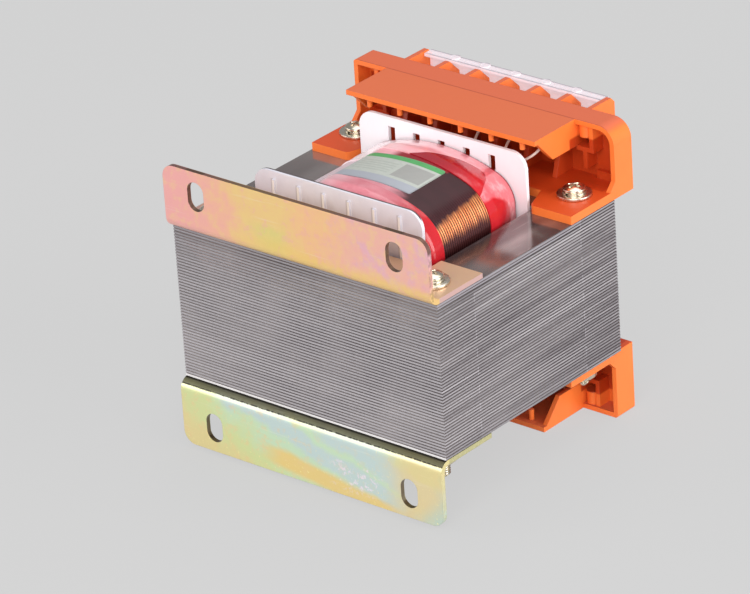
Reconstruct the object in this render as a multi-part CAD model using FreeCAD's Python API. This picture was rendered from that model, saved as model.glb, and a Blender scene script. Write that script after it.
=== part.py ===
"""Laminated chassis transformer: an EI core with a two-winding coil, two folded
mounting brackets and two moulded terminal blocks, held together by four long screws.

Millimetres, +Z up the lamination stack. The brackets' flanges face -Y and the
terminals face +Y. Pieces are drawn from the middle of the core's front edge, at the
core's bottom face, and moved as one at the end, so that the origin is the middle of
the bottom of the whole object's box.
"""
import FreeCAD, Part
import math
import os

Vec = FreeCAD.Vector

# Laminations, EI96 outline
leg_width = 16.0                      # yokes and outer legs
centre_leg_width = 2 * leg_width
window_width = leg_width
window_length = 48.0
core_width = centre_leg_width + 2 * window_width + 2 * leg_width
core_depth = window_length + 2 * leg_width
overshoot = 1.0                       # cuts run this far past the faces they open
sheet_thickness = 0.47
sheets_per_layer = 2                  # sheets that lie the same way and read as one line
layers_per_packet = 3
packet_count = 17
layer_height = sheet_thickness * sheets_per_layer
packet_height = layer_height * layers_per_packet
stack_height = packet_height * packet_count
layer_gap_height = 0.30
layer_gap_depth = 0.22
corner_hole_inset = leg_width / 2
corner_hole_radius = 2.5
corner_hole_sides = 8
hole_x = core_width / 2 - corner_hole_inset
hole_front_y = corner_hole_inset
hole_rear_y = core_depth - corner_hole_inset
window_front_y = leg_width
window_rear_y = core_depth - leg_width

# Bobbin
bobbin_clearance = 0.3                # to the core's sides; the bobbin grips its top and bottom
bobbin_wall = 1.2
flange_thickness = 1.2
flange_overhang = 16.3                # beyond the top and bottom of the core
flange_side_clearance = 1.6
flange_corner_radius = 5.0
wire_slot_pitch = 9.15
wire_slot_count = 5
wire_slot_width = 2.5
wire_slot_top = 2.9                   # below the flange's edge
wire_slot_length = 9.5
flange_rib_width = 0.8
flange_rib_depth = 0.8
flange_rib_top = 2.3                  # below the flange's edge
bobbin_front_y = window_front_y + bobbin_clearance
bobbin_rear_y = window_rear_y - bobbin_clearance
tube_half_width = centre_leg_width / 2 + bobbin_clearance + bobbin_wall
tube_reach = bobbin_wall              # above and below the core
flange_half_width = centre_leg_width / 2 + window_width - flange_side_clearance
coil_front_y = bobbin_front_y + flange_thickness
coil_rear_y = bobbin_rear_y - flange_thickness

# Coil, layer on layer: each outline is a crowned arch over and under the core
coil_end_gap = 0.25
primary_half_width = tube_half_width + 5.1
primary_crown = 7.4
primary_shoulder = 6.0
insulation_thickness = 0.8
winding_half_width = flange_half_width - 0.5
winding_crown = flange_overhang - 0.4
crown_radius = 60.0
shoulder_radius = 12.6
front_end_step = 2.9                  # the winding is slimmer beside the flanges
rear_end_step = 4.3
winding_band_front_y = coil_front_y + 3.5
winding_band_rear_y = coil_rear_y - 11.5
tape_thickness = 0.4
front_tape_rear_y = coil_front_y + 8.0
rear_tape_front_y = coil_rear_y - 16.0
front_tape_drop = 2.4                 # from the bands down to the flanges
rear_tape_drop = 3.8
label_thickness = 0.2
label_length = 25.0
label_width = 17.0
label_centre_x = 3.4
label_centre_y = coil_front_y + 18.5
label_turn = 5.0                      # degrees

# Brackets
bracket_thickness = 1.5
bend_inner_radius = 2.0
flange_face_offset = 2.6              # the mounting face stands this far before the core
bracket_height = 20.15                # the flange's edge beyond the core's face
bracket_corner_radius = 4.0
ear_reach = window_front_y + 4.1
ear_width = 14.6
tongue_reach = window_front_y - 1.1
slot_width = 6.0
slot_length = 9.0
slot_x = core_width / 2 - 12.0
slot_offset = 12.5                    # the slots' centres beyond the core's face
bracket_hole_radius = 2.3

# Terminal blocks; x runs to the right for the upper one, the lower one is turned over
block_left_x = 1.0 - core_width / 2
block_right_x = core_width / 2
lower_block_shift = 2.2               # the lower block is set this much nearer the mounting flanges
block_wall = 1.5
block_height = 21.4
block_front_y = core_depth + 0.7
block_rear_y = block_front_y + 8.1
rear_wall_thickness = 2.6
block_corner_radius = 5.5
block_small_radius = 1.0
foot_thickness = 2.6
foot_front_y = core_depth - 20.0
foot_middle_y = core_depth - 10.5
foot_inner_x = flange_half_width + 3.2
foot_inner_rear_x = foot_inner_x - 3.6
foot_edge_radius = 1.5
gusset_rise = 2.6
hood_half_width = foot_inner_x + 0.8
hood_front_y = core_depth - 17.8
cheek_bottom = 13.0                   # above the foot's underside
cheek_front_y = core_depth - 9.9
terminal_pitch = 11.15
terminal_count = 6
fin_thickness = 1.6
fin_rear_y = block_rear_y + 9.3
fin_chamfer = 4.2
end_fin_rear_y = block_rear_y + 10.6
end_fin_chamfer = 1.6
cell_floor = 1.6
pedestal_width = 8.0
pedestal_depth = 3.4
pedestal_height = 14.8
web_thickness = 1.5
web_front_y = core_depth - 1.8
web_shoulder_height = 8.7
web_height = 12.6
web_lean = 2.2
pin_radius = 0.8
pin_length = 3.2
pin_setback = 2.6
post_radius = 2.0
post_x = hood_half_width + 2.1
post_y = block_front_y + 2.5
post_height = 4.0
rib_thickness = 1.4
rib_front_y = block_front_y + 0.8
upright_rib_x = hood_half_width + 4.9
low_rib_x = hood_half_width + 2.5
low_rib_foot = 6.4
ledge_height = 2.4
ledge_depth = 1.6
ledge_start_x = hood_half_width + 4.0

# Terminals
plate_thickness = 1.0
tongue_width = 4.0
tongue_front_y = web_front_y + 0.4
tongue_clearance = 0.2
eye_radius = 0.8
eye_setback = 1.6
terminal_shank_radius = 1.75
terminal_hole_clearance = 0.15
terminal_head_radius = 3.3
terminal_head_height = 2.2
terminal_shank_length = 5.2
terminal_centre_height = 8.6
clamp_plate_size = 7.6
clamp_plate_thickness = 1.0
terminal_recess_width = 1.0
terminal_recess_depth = 1.0
small_round_sides = 10                # holes and shanks of the terminal screws, out of sight

# Clear covers
cover_thickness = 1.0
cover_clearance = 0.2                 # to the end fins; the cover's plate lies on the others' edges
cover_bottom = 4.0
cover_lip_front_y = fin_rear_y - 2.5
cover_lug_radius = 1.5
cover_lug_height = 0.4
cover_top = block_height - cover_lug_height

# Long clamp screws
screw_radius = 2.0
screw_length = 61.6
head_radius = 3.3
head_height = 1.6
head_crown = 0.7
recess_width = 1.0
recess_length = 3.8
recess_depth = 0.9
flat_washer_radius = 5.1
flat_washer_thickness = 1.0
spring_washer_radius = 3.6
spring_washer_thickness = 0.7
spring_washer_gap = 0.9
washer_hole_clearance = 0.15
nut_across_flats = 7.0
nut_height = 3.2
nut_hole_clearance = 0.02

# Leads from the coil to the terminals
lead_radius = 0.4
lead_slots = (1, 2, 2)                # each lead's wire slot, counted from the middle one
lead_slot_heights = (10.3, 8.0, 6.9)  # each lead's height over the core in that slot
lead_slot_run = 3.4                   # straight, through the flange
lead_middle_y = hood_front_y + 8.8
lead_middle_height = 12.8
lead_rise_gap = 1.9                   # the lead is level this far before the tag
lead_end_run = 2.6                    # lying on the tag

# Where the whole object's box lies, seen from the core's front bottom edge
box_front_y = -flange_face_offset
box_rear_y = end_fin_rear_y
box_bottom_z = -block_height
origin = Vec(0, (box_front_y + box_rear_y) / 2, box_bottom_z)

os.makedirs("parts", exist_ok=True)


def save(name, solids):
    """Write one node: a single solid, or a group of separate ones."""
    if not isinstance(solids, list):
        solids = [solids]
    for solid in solids:
        if not solid.isValid():
            raise ValueError(name + " is not a valid solid")
    shape = solids[0] if len(solids) == 1 else Part.makeCompound(solids)
    shape = shape.copy()
    shape.translate(Vec(0, 0, 0) - origin)
    shape.exportStep(os.path.join("parts", name + ".step"))
    print("%-24s %2d solids  %9.1f mm3" % (name, len(shape.Solids), shape.Volume))


def box(x0, x1, y0, y1, z0, z1):
    return Part.makeBox(x1 - x0, y1 - y0, z1 - z0, Vec(x0, y0, z0))


def cylinder_z(x, y, z0, z1, radius):
    return Part.makeCylinder(radius, z1 - z0, Vec(x, y, z0), Vec(0, 0, 1))


def polygon(points):
    return Part.Face(Part.makePolygon([Vec(*p) for p in points + points[:1]]))


def prism_x(points_yz, x0, x1):
    """A prism along X from a closed outline of (y, z) points."""
    face = polygon([(x0, y, z) for y, z in points_yz])
    return face.extrude(Vec(x1 - x0, 0, 0))


def prism_y(points_xz, y0, y1):
    face = polygon([(x, y0, z) for x, z in points_xz])
    return face.extrude(Vec(0, y1 - y0, 0))


def prism_z(points_xy, z0, z1):
    face = polygon([(x, y, z0) for x, y in points_xy])
    return face.extrude(Vec(0, 0, z1 - z0))


def regular_points(x, y, radius, sides, start=0.5):
    step = 2 * math.pi / sides
    return [(x + radius * math.cos((k + start) * step),
             y + radius * math.sin((k + start) * step)) for k in range(sides)]


def one_solid(shape):
    """The single solid that a boolean left, with leftover seams removed."""
    shape = shape.removeSplitter()
    if len(shape.Solids) != 1:
        raise ValueError("expected one solid, found %d" % len(shape.Solids))
    return shape.Solids[0]


def within(shape, x0, x1, y0, y1, z0, z1):
    """The solids of a shape that lie inside a box."""
    inside = shape.common(box(x0, x1, y0, y1, z0, z1))
    return [one_solid(solid) for solid in inside.Solids]


def edges_where(shape, test):
    return [edge for edge in shape.Edges if test(edge)]


def is_along(edge, axis):
    if edge.Curve.TypeId != "Part::GeomLine":
        return False
    direction = edge.Curve.Direction
    return abs(abs(direction.dot(axis)) - 1) < 1e-6


def middle(edge):
    return edge.valueAt((edge.FirstParameter + edge.LastParameter) / 2)


def turned_over(shape):
    """The same piece fitted on the underside, turned half round about Y."""
    copy = shape.copy()
    copy.rotate(Vec(0, 0, stack_height / 2), Vec(0, 1, 0), 180)
    return copy


def mirrored_down(shape):
    return shape.mirror(Vec(0, 0, stack_height / 2), Vec(0, 0, 1))


# Core

def wedge_outline(face, outward, z, steep):
    """A triangle that bites into a side face at one height; outward is -1 or 1."""
    tip = face - outward * layer_gap_depth
    mouth = face + outward
    spread = steep * abs(mouth - tip)
    return [(mouth, z - spread), (tip, z), (mouth, z + spread)]


def packet_gaps(sides):
    """Thin wedges that mark the edges of each layer on the given sides."""
    wedges = []
    for layer in range(layers_per_packet + 1):
        z = layer * layer_height
        steep = layer_gap_height / 2 / layer_gap_depth
        for side in sides:
            if side == "front":
                outline = wedge_outline(0, -1, z, steep)
                wedges.append(prism_x(outline, -core_width, core_width))
            elif side == "left":
                outline = wedge_outline(-core_width / 2, -1, z, steep)
                wedges.append(prism_y(outline, -1, core_depth + 1))
            else:
                outline = wedge_outline(core_width / 2, 1, z, steep)
                wedges.append(prism_y(outline, -1, core_depth + 1))
    return wedges


def core_pieces():
    """An E and an I packet, with the E's back at the front; the I closes the rear."""
    half = core_width / 2
    inner = half - leg_width
    leg = centre_leg_width / 2
    rear = window_rear_y
    outline = [(-half, 0), (half, 0), (half, rear), (inner, rear), (inner, leg_width),
               (leg, leg_width), (leg, rear), (-leg, rear), (-leg, leg_width),
               (-inner, leg_width), (-inner, rear), (-half, rear)]
    e_packet = prism_z(outline, 0, packet_height)
    i_packet = box(-half, half, rear, core_depth, 0, packet_height)
    for x in (-hole_x, hole_x):
        for y in (hole_front_y, hole_rear_y):
            across = corner_hole_radius / math.cos(math.pi / corner_hole_sides)
            hole = prism_z(regular_points(x, y, across, corner_hole_sides),
                           -1, packet_height + 1)
            if y < rear:
                e_packet = e_packet.cut(hole)
            else:
                i_packet = i_packet.cut(hole)
    wedges = packet_gaps(["front", "left", "right"])
    e_packet = e_packet.cut(wedges)
    i_wedges = packet_gaps(["left", "right"])
    for wedge in packet_gaps(["front"]):
        wedge.rotate(Vec(0, core_depth / 2, 0), Vec(0, 0, 1), 180)
        i_wedges.append(wedge)
    i_packet = i_packet.cut(i_wedges)
    return one_solid(e_packet), one_solid(i_packet)


e_front, i_rear = core_pieces()
core = {"core_front_e": [], "core_rear_i": [], "core_rear_e": [], "core_front_i": []}
for index in range(packet_count):
    for piece, even_name, odd_name in ((e_front, "core_front_e", "core_rear_e"),
                                       (i_rear, "core_rear_i", "core_front_i")):
        copy = piece.copy()
        if index % 2:
            copy.rotate(Vec(0, core_depth / 2, 0), Vec(0, 0, 1), 180)
        copy.translate(Vec(0, 0, index * packet_height))
        core[odd_name if index % 2 else even_name].append(copy)
for name, solids in core.items():
    save(name, solids)


# Bobbin

def bobbin_flange(y0, y1):
    flange = box(-flange_half_width, flange_half_width, y0, y1,
                 -flange_overhang, stack_height + flange_overhang)
    corners = edges_where(flange, lambda e: is_along(e, Vec(0, 1, 0)))
    return flange.makeFillet(flange_corner_radius, corners)


def make_bobbin():
    flanges = [bobbin_flange(bobbin_front_y, coil_front_y),
               bobbin_flange(coil_rear_y, bobbin_rear_y)]
    tube = box(-tube_half_width, tube_half_width, bobbin_front_y, bobbin_rear_y,
               -tube_reach, stack_height + tube_reach)
    ribs = []
    slots = []
    rib_count = wire_slot_count + 1
    clear = bobbin_clearance
    top = stack_height + flange_overhang - flange_rib_top
    for k in range(rib_count):
        x = (k - (rib_count - 1) / 2) * wire_slot_pitch
        for y0, y1 in ((bobbin_front_y - flange_rib_depth, bobbin_front_y),
                       (bobbin_rear_y, bobbin_rear_y + flange_rib_depth)):
            rib = box(x - flange_rib_width / 2, x + flange_rib_width / 2, y0, y1,
                      stack_height + clear, top)
            ribs += [rib, mirrored_down(rib)]
    slot_top = stack_height + flange_overhang - wire_slot_top
    for k in range(wire_slot_count):
        x = (k - (wire_slot_count - 1) / 2) * wire_slot_pitch
        slot = box(x - wire_slot_width / 2, x + wire_slot_width / 2,
                   coil_rear_y - 1, bobbin_rear_y + 1, slot_top - wire_slot_length, slot_top)
        slots += [slot, mirrored_down(slot)]
    body = flanges[0].fuse([flanges[1], tube] + ribs)
    reach = centre_leg_width / 2 + bobbin_clearance
    bore = box(-reach, reach, -1, core_depth, 0, stack_height)
    return one_solid(body.cut([bore] + slots))


def save_bobbin():
    """One moulding, kept as its tube and its two flanges so that each collides by itself."""
    bobbin = make_bobbin()
    side = flange_half_width
    low = -flange_overhang
    high = stack_height + flange_overhang
    save("bobbin", within(bobbin, -side, side, coil_front_y, coil_rear_y, low, high))
    save("bobbin_front_flange", within(bobbin, -side, side, 0, coil_front_y, low, high))
    save("bobbin_rear_flange", within(bobbin, -side, side, coil_rear_y, core_depth, low, high))


save_bobbin()


# Coil

def arch_points(half_width, crown, crown_r, shoulder_r):
    """Tangent points of a crowned arch over the core, from the right side to the top."""
    crown_centre = stack_height + crown - crown_r
    reach = crown_r - shoulder_r
    across = half_width - shoulder_r
    shoulder_z = crown_centre + math.sqrt(reach ** 2 - across ** 2)
    lean = math.asin(across / reach)
    bisector = (math.pi / 2 - lean) / 2
    shoulder_mid = (across + shoulder_r * math.cos(bisector),
                    shoulder_z + shoulder_r * math.sin(bisector))
    tangent = (crown_r * math.sin(lean), crown_centre + crown_r * math.cos(lean))
    return (half_width, shoulder_z), shoulder_mid, tangent, (0, stack_height + crown)


def arch_wire(y, half_width, crown, crown_r, shoulder_r):
    """The coil's outline at one place along the leg, the same above and below the core."""
    side, shoulder_mid, tangent, top = arch_points(half_width, crown, crown_r, shoulder_r)

    def at(point, sx, sz):
        z = point[1] if sz > 0 else stack_height - point[1]
        return Vec(sx * point[0], y, z)

    edges = [
        Part.LineSegment(at(side, 1, -1), at(side, 1, 1)).toShape(),
        Part.Arc(at(side, 1, 1), at(shoulder_mid, 1, 1), at(tangent, 1, 1)).toShape(),
        Part.Arc(at(tangent, 1, 1), at(top, 1, 1), at(tangent, -1, 1)).toShape(),
        Part.Arc(at(tangent, -1, 1), at(shoulder_mid, -1, 1), at(side, -1, 1)).toShape(),
        Part.LineSegment(at(side, -1, 1), at(side, -1, -1)).toShape(),
        Part.Arc(at(side, -1, -1), at(shoulder_mid, -1, -1), at(tangent, -1, -1)).toShape(),
        Part.Arc(at(tangent, -1, -1), at(top, 1, -1), at(tangent, 1, -1)).toShape(),
        Part.Arc(at(tangent, 1, -1), at(shoulder_mid, 1, -1), at(side, 1, -1)).toShape(),
    ]
    return Part.Wire(edges)


def offset_arch(y, grow):
    """The winding's outline, grown or shrunk evenly by a distance."""
    return arch_wire(y, winding_half_width + grow, winding_crown + grow,
                     crown_radius + grow, shoulder_radius + grow)


def prism_between(wire, y1):
    y0 = wire.BoundBox.YMin
    return Part.Face(wire).extrude(Vec(0, y1 - y0, 0))


def inner_outline(y, grow):
    return arch_wire(y, primary_half_width + grow, primary_crown + grow,
                     crown_radius + grow, primary_shoulder + grow)


winding_front_y = coil_front_y + coil_end_gap
winding_rear_y = coil_rear_y - coil_end_gap
core_of_coil = box(-tube_half_width, tube_half_width, 0, core_depth,
                   -tube_reach, stack_height + tube_reach)

primary = prism_between(inner_outline(winding_front_y, 0), winding_rear_y).cut(core_of_coil)
save("primary_winding", one_solid(primary))

insulation = prism_between(inner_outline(coil_front_y, insulation_thickness), coil_rear_y)
insulation = insulation.cut(prism_between(inner_outline(coil_front_y - 1, 0), core_depth))
save("winding_insulation", one_solid(insulation))

band = prism_between(offset_arch(winding_band_front_y, 0), winding_band_rear_y)
slim_front = prism_between(offset_arch(winding_front_y, -front_end_step), winding_band_rear_y - 1)
slim_rear = prism_between(offset_arch(winding_band_rear_y - 1, -rear_end_step), winding_rear_y)
secondary = band.fuse([slim_front, slim_rear])
secondary = secondary.cut(prism_between(inner_outline(0, insulation_thickness), core_depth))
save("secondary_winding", one_solid(secondary))


def tape(sections):
    """Film wound round the coil: straight on the winding, then falling to the flange."""
    outer = Part.makeLoft([offset_arch(y, grow + tape_thickness) for y, grow in sections],
                          True, True)
    inner = Part.makeLoft([offset_arch(y, grow) for y, grow in sections], True, True)
    return one_solid(outer.cut(inner))


front_sections = [(winding_front_y, -front_tape_drop), (winding_band_front_y, 0),
                  (front_tape_rear_y, 0)]
rear_sections = [(rear_tape_front_y, 0), (winding_band_rear_y, 0),
                 (winding_rear_y, -rear_tape_drop)]
save("front_tape", tape(front_sections))
save("rear_tape", tape(rear_sections))

label_outer = prism_between(offset_arch(front_tape_rear_y, label_thickness), rear_tape_front_y)
label_inner = prism_between(offset_arch(front_tape_rear_y, 0), rear_tape_front_y)
label_area = box(label_centre_x - label_length / 2, label_centre_x + label_length / 2,
                 label_centre_y - label_width / 2, label_centre_y + label_width / 2,
                 stack_height, stack_height + flange_overhang)
label_area.rotate(Vec(label_centre_x, label_centre_y, 0), Vec(0, 0, 1), label_turn)
save("rating_label", one_solid(label_outer.cut(label_inner).common(label_area)))


# Brackets

def make_bracket():
    """A folded sheet: a slotted flange before the core and a leg lying on the core."""
    outer = bend_inner_radius + bracket_thickness
    base = stack_height
    face = -flange_face_offset
    top = base + bracket_height
    bend_y = face + outer
    bend_z = base + outer
    diagonal = math.sqrt(0.5)
    points = {
        "leg_end_low": (ear_reach, base), "leg_end_high": (ear_reach, base + bracket_thickness),
        "in_low": (bend_y, base + bracket_thickness),
        "in_mid": (bend_y - bend_inner_radius * diagonal, bend_z - bend_inner_radius * diagonal),
        "in_high": (bend_y - bend_inner_radius, bend_z),
        "top_in": (face + bracket_thickness, top), "top_out": (face, top),
        "out_high": (face, bend_z),
        "out_mid": (bend_y - outer * diagonal, bend_z - outer * diagonal),
        "out_low": (bend_y, base),
    }
    x0 = -core_width / 2
    at = {name: Vec(x0, y, z) for name, (y, z) in points.items()}

    def line(a, b):
        return Part.LineSegment(at[a], at[b]).toShape()

    def arc(a, b, c):
        return Part.Arc(at[a], at[b], at[c]).toShape()

    section = Part.Wire([
        line("leg_end_low", "leg_end_high"), line("leg_end_high", "in_low"),
        arc("in_low", "in_mid", "in_high"), line("in_high", "top_in"),
        line("top_in", "top_out"), line("top_out", "out_high"),
        arc("out_high", "out_mid", "out_low"), line("out_low", "leg_end_low")])
    bracket = Part.Face(section).extrude(Vec(core_width, 0, 0))
    corners = edges_where(bracket, lambda e: is_along(e, Vec(0, 1, 0))
                          and abs(middle(e).z - top) < 1e-6)
    bracket = bracket.makeFillet(bracket_corner_radius, corners)
    notch_x = core_width / 2 - ear_width
    below = base - overshoot
    above = base + bracket_thickness + overshoot
    before = face - overshoot
    behind = face + bracket_thickness + overshoot
    cuts = [box(-notch_x, notch_x, tongue_reach, ear_reach + overshoot, below, above)]
    half_run = (slot_length - slot_width) / 2
    for x in (-slot_x, slot_x):
        centre = base + slot_offset
        r = slot_width / 2
        for dz in (-half_run, half_run):
            cuts.append(Part.makeCylinder(r, behind - before, Vec(x, before, centre + dz),
                                          Vec(0, 1, 0)))
        cuts.append(box(x - r, x + r, before, behind, centre - half_run, centre + half_run))
    for x in (-hole_x, hole_x):
        cuts.append(cylinder_z(x, hole_front_y, below, above, bracket_hole_radius))
    return one_solid(bracket.cut(cuts))


bracket = make_bracket()
save("upper_bracket", bracket)
save("lower_bracket", turned_over(bracket))


# Terminal blocks

def cell_centres():
    return [(k - (terminal_count - 1) / 2) * terminal_pitch for k in range(terminal_count)]


def fin_centres():
    return [(k - terminal_count / 2) * terminal_pitch for k in range(terminal_count + 1)]


def make_foot():
    """The plate that lies on the core, with two ears for the clamp screws."""
    left = block_left_x
    right = block_right_x
    outline = [(left, block_rear_y), (left, foot_front_y), (-foot_inner_x, foot_front_y),
               (-foot_inner_rear_x, foot_middle_y), (foot_inner_rear_x, foot_middle_y),
               (foot_inner_x, foot_front_y), (right, foot_front_y), (right, block_rear_y)]
    foot = prism_z(outline, 0, foot_thickness)
    rounded = edges_where(foot, lambda e: is_along(e, Vec(0, 0, 1))
                          and abs(middle(e).y - foot_front_y) < 1e-6
                          and left + 1 < middle(e).x < right - 1)
    return foot.makeFillet(foot_edge_radius, rounded)


def make_frame():
    """The shell behind the ears, open to the front, with its thick rear wall."""
    left = block_left_x
    right = block_right_x
    shell = box(left, right, block_front_y, block_rear_y, 0, block_height)
    for side, radius in ((1, block_corner_radius), (-1, block_small_radius)):
        corner = edges_where(shell, lambda e: is_along(e, Vec(0, 1, 0))
                             and middle(e).x * side > 0 and middle(e).z > block_height / 2)
        shell = shell.makeFillet(radius, corner)
    inside_front = block_front_y - 1
    inside_rear = block_rear_y - rear_wall_thickness
    hollow = box(left + block_wall, right - block_wall, inside_front, inside_rear,
                 foot_thickness, block_height - block_wall)
    corner = edges_where(hollow, lambda e: is_along(e, Vec(0, 1, 0))
                         and middle(e).x > 0 and middle(e).z > block_height / 2)
    hollow = hollow.makeFillet(block_corner_radius - block_wall, corner)
    return shell.cut(hollow)


def make_hood():
    """The roof over the leads, with a slanted cheek at each end."""
    roof = box(-hood_half_width, hood_half_width, hood_front_y, block_front_y + 1,
               block_height - block_wall, block_height)
    rear = block_rear_y - rear_wall_thickness + 0.5
    outline = [(hood_front_y, block_height), (cheek_front_y, cheek_bottom),
               (rear, cheek_bottom), (rear, block_height)]
    pieces = [roof]
    for x0 in (-hood_half_width, hood_half_width - block_wall):
        pieces.append(prism_x(outline, x0, x0 + block_wall))
    underside = block_height - block_wall
    for x in cell_centres():
        pieces.append(cylinder_z(x, hood_front_y + pin_setback, underside - pin_length,
                                 underside + block_wall / 2, pin_radius))
    return pieces


def pocket_ribs(side):
    """The ribs and the half-round post in one end pocket."""
    rear = block_rear_y - rear_wall_thickness + 0.5
    roof = block_height - block_wall + 0.5
    half = rib_thickness / 2
    end_x = block_right_x if side > 0 else -block_left_x

    def rib(x0, x1, y0, z0, z1):
        low, high = sorted((side * x0, side * x1))
        return box(low, high, y0, rear, z0, z1)

    post_foot = roof - post_height - 0.5
    return [
        cylinder_z(side * post_x, post_y, post_foot, roof, post_radius),
        rib(post_x - post_radius, post_x + post_radius, post_y, post_foot, roof),
        rib(upright_rib_x - half, upright_rib_x + half, rib_front_y, cheek_bottom - 0.2, roof),
        rib(hood_half_width - 0.5, upright_rib_x + half, rib_front_y,
            cheek_bottom - rib_thickness, cheek_bottom),
        rib(low_rib_x - half, low_rib_x + half, rib_front_y, low_rib_foot, cheek_bottom - 0.2),
        rib(ledge_start_x, end_x - block_wall / 2, rear - ledge_depth - 0.5,
            foot_thickness - 0.5, foot_thickness + ledge_height),
    ]


def make_block(setback):
    """The whole moulding; its holes for the clamp screws lie this much further to the rear."""
    pieces = [make_frame()] + make_hood() + pocket_ribs(1) + pocket_ribs(-1)
    for x0 in (block_left_x, block_right_x - block_wall):
        pieces.append(prism_x([(block_front_y - gusset_rise, foot_thickness),
                               (block_front_y + 0.5, foot_thickness),
                               (block_front_y + 0.5, foot_thickness + gusset_rise + 0.5)],
                              x0, x0 + block_wall))
    rear_inside = block_rear_y - rear_wall_thickness
    for x in cell_centres():
        outline = [(web_front_y, foot_thickness - 0.5), (rear_inside + 0.5, foot_thickness - 0.5),
                   (rear_inside + 0.5, web_height), (web_front_y + web_lean, web_height),
                   (web_front_y + web_lean, web_shoulder_height)]
        web = prism_x(outline, x - web_thickness / 2, x + web_thickness / 2)
        pieces.append(web)
        pieces.append(box(x - pedestal_width / 2, x + pedestal_width / 2,
                          block_rear_y - 0.5, block_rear_y + pedestal_depth,
                          0, pedestal_height))
    fins = fin_centres()
    for k, x in enumerate(fins):
        is_end = k in (0, terminal_count)
        rear = end_fin_rear_y if is_end else fin_rear_y
        chamfer = end_fin_chamfer if is_end else fin_chamfer
        outline = [(block_rear_y - 0.5, 0), (rear, 0), (rear, block_height - chamfer),
                   (rear - chamfer, block_height), (block_rear_y - 0.5, block_height)]
        pieces.append(prism_x(outline, x - fin_thickness / 2, x + fin_thickness / 2))
    pieces.append(box(fins[0], fins[-1], block_rear_y - 0.5, fin_rear_y, 0, cell_floor))
    foot = make_foot()
    block = foot.fuse(pieces)
    cuts = []
    for x in (-hole_x, hole_x):
        cuts.append(cylinder_z(x, hole_rear_y + setback, -1, foot_thickness + 1,
                               bracket_hole_radius))
    for x in cell_centres():
        reach = tongue_width / 2 + tongue_clearance
        cuts.append(box(x - reach, x + reach, web_front_y, block_rear_y + 0.5,
                        pedestal_height, pedestal_height + plate_thickness + tongue_clearance))
        cuts.append(prism_y(terminal_hole(x), terminal_seat_y() - terminal_shank_length - 0.2,
                            block_rear_y + pedestal_depth + 1))
    return one_solid(block.cut(cuts))


def block_sections(setback):
    """The moulding in simpler pieces that lie face to face, so that collision follows each of them."""
    block = make_block(setback)
    side = core_width / 2
    rear = block_rear_y
    half_fin = fin_thickness / 2
    half_cell = terminal_pitch / 2 - half_fin
    half_web = web_thickness / 2
    rooms = {
        "terminal_foot": [(-side, side, foot_front_y, block_front_y, 0, foot_thickness)],
        "terminal_hood": [(-side, side, hood_front_y, block_front_y, cheek_bottom, block_height)],
        "terminal_webs": [(x - half_web, x + half_web, web_front_y, rear - rear_wall_thickness,
                           foot_thickness, web_height) for x in cell_centres()],
        "terminal_ledges": [(x - half_cell, x + half_cell, rear, end_fin_rear_y, 0, block_height)
                            for x in cell_centres()],
        "terminal_fins": [(x - half_fin, x + half_fin, rear, end_fin_rear_y, 0, block_height)
                          for x in fin_centres()],
    }
    sections = {}
    taken = []
    for stem, places in rooms.items():
        sections[stem] = [solid for place in places for solid in within(block, *place)]
        taken += [box(*place) for place in places]
    sections["terminal_block"] = [one_solid(block.cut(taken))]
    return sections


def terminal_seat_y():
    """The face under the terminal screws' heads."""
    return block_rear_y + pedestal_depth + plate_thickness + clamp_plate_thickness


def terminal_hole(x):
    """A many-sided hole's outline, clear of the terminal screw's shank all round."""
    radius = terminal_shank_radius + terminal_hole_clearance
    across = radius / math.cos(math.pi / small_round_sides)
    return regular_points(x, terminal_centre_height, across, small_round_sides)


def make_tags():
    """Plates on the pedestals, each with a tongue through the wall for its lead."""
    tags = []
    seat = block_rear_y + pedestal_depth
    for x in cell_centres():
        plate = box(x - pedestal_width / 2, x + pedestal_width / 2, seat, seat + plate_thickness,
                    cell_floor, pedestal_height + plate_thickness)
        tongue = box(x - tongue_width / 2, x + tongue_width / 2, tongue_front_y,
                     seat + plate_thickness, pedestal_height, pedestal_height + plate_thickness)
        eye = prism_z(regular_points(x, tongue_front_y + eye_setback, eye_radius, 8),
                      0, block_height)
        hole = prism_y(terminal_hole(x), seat - 1, seat + plate_thickness + 1)
        tags.append(one_solid(plate.fuse(tongue).cut([eye, hole])))
    return tags


def make_wire_clamps():
    clamps = []
    y0 = block_rear_y + pedestal_depth + plate_thickness
    half = clamp_plate_size / 2
    for x in cell_centres():
        z = terminal_centre_height
        clamp = box(x - half, x + half, y0, y0 + clamp_plate_thickness, z - half, z + half)
        clamps.append(one_solid(clamp.cut(prism_y(terminal_hole(x), y0 - 1, y0 + 2))))
    return clamps


def make_terminal_screws():
    screws = []
    seat = terminal_seat_y()
    for x in cell_centres():
        z = terminal_centre_height
        shank = prism_y(regular_points(x, z, terminal_shank_radius, small_round_sides),
                        seat - terminal_shank_length, seat + 0.5)
        head = prism_y(regular_points(x, z, terminal_head_radius, 2 * small_round_sides),
                       seat, seat + terminal_head_height)
        floor = seat + terminal_head_height - terminal_recess_depth
        half = terminal_recess_width / 2
        slot = box(x - head_radius, x + head_radius, floor, seat + 5, z - half, z + half)
        screws.append(one_solid(head.fuse(shank).cut(slot)))
    return screws


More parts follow.
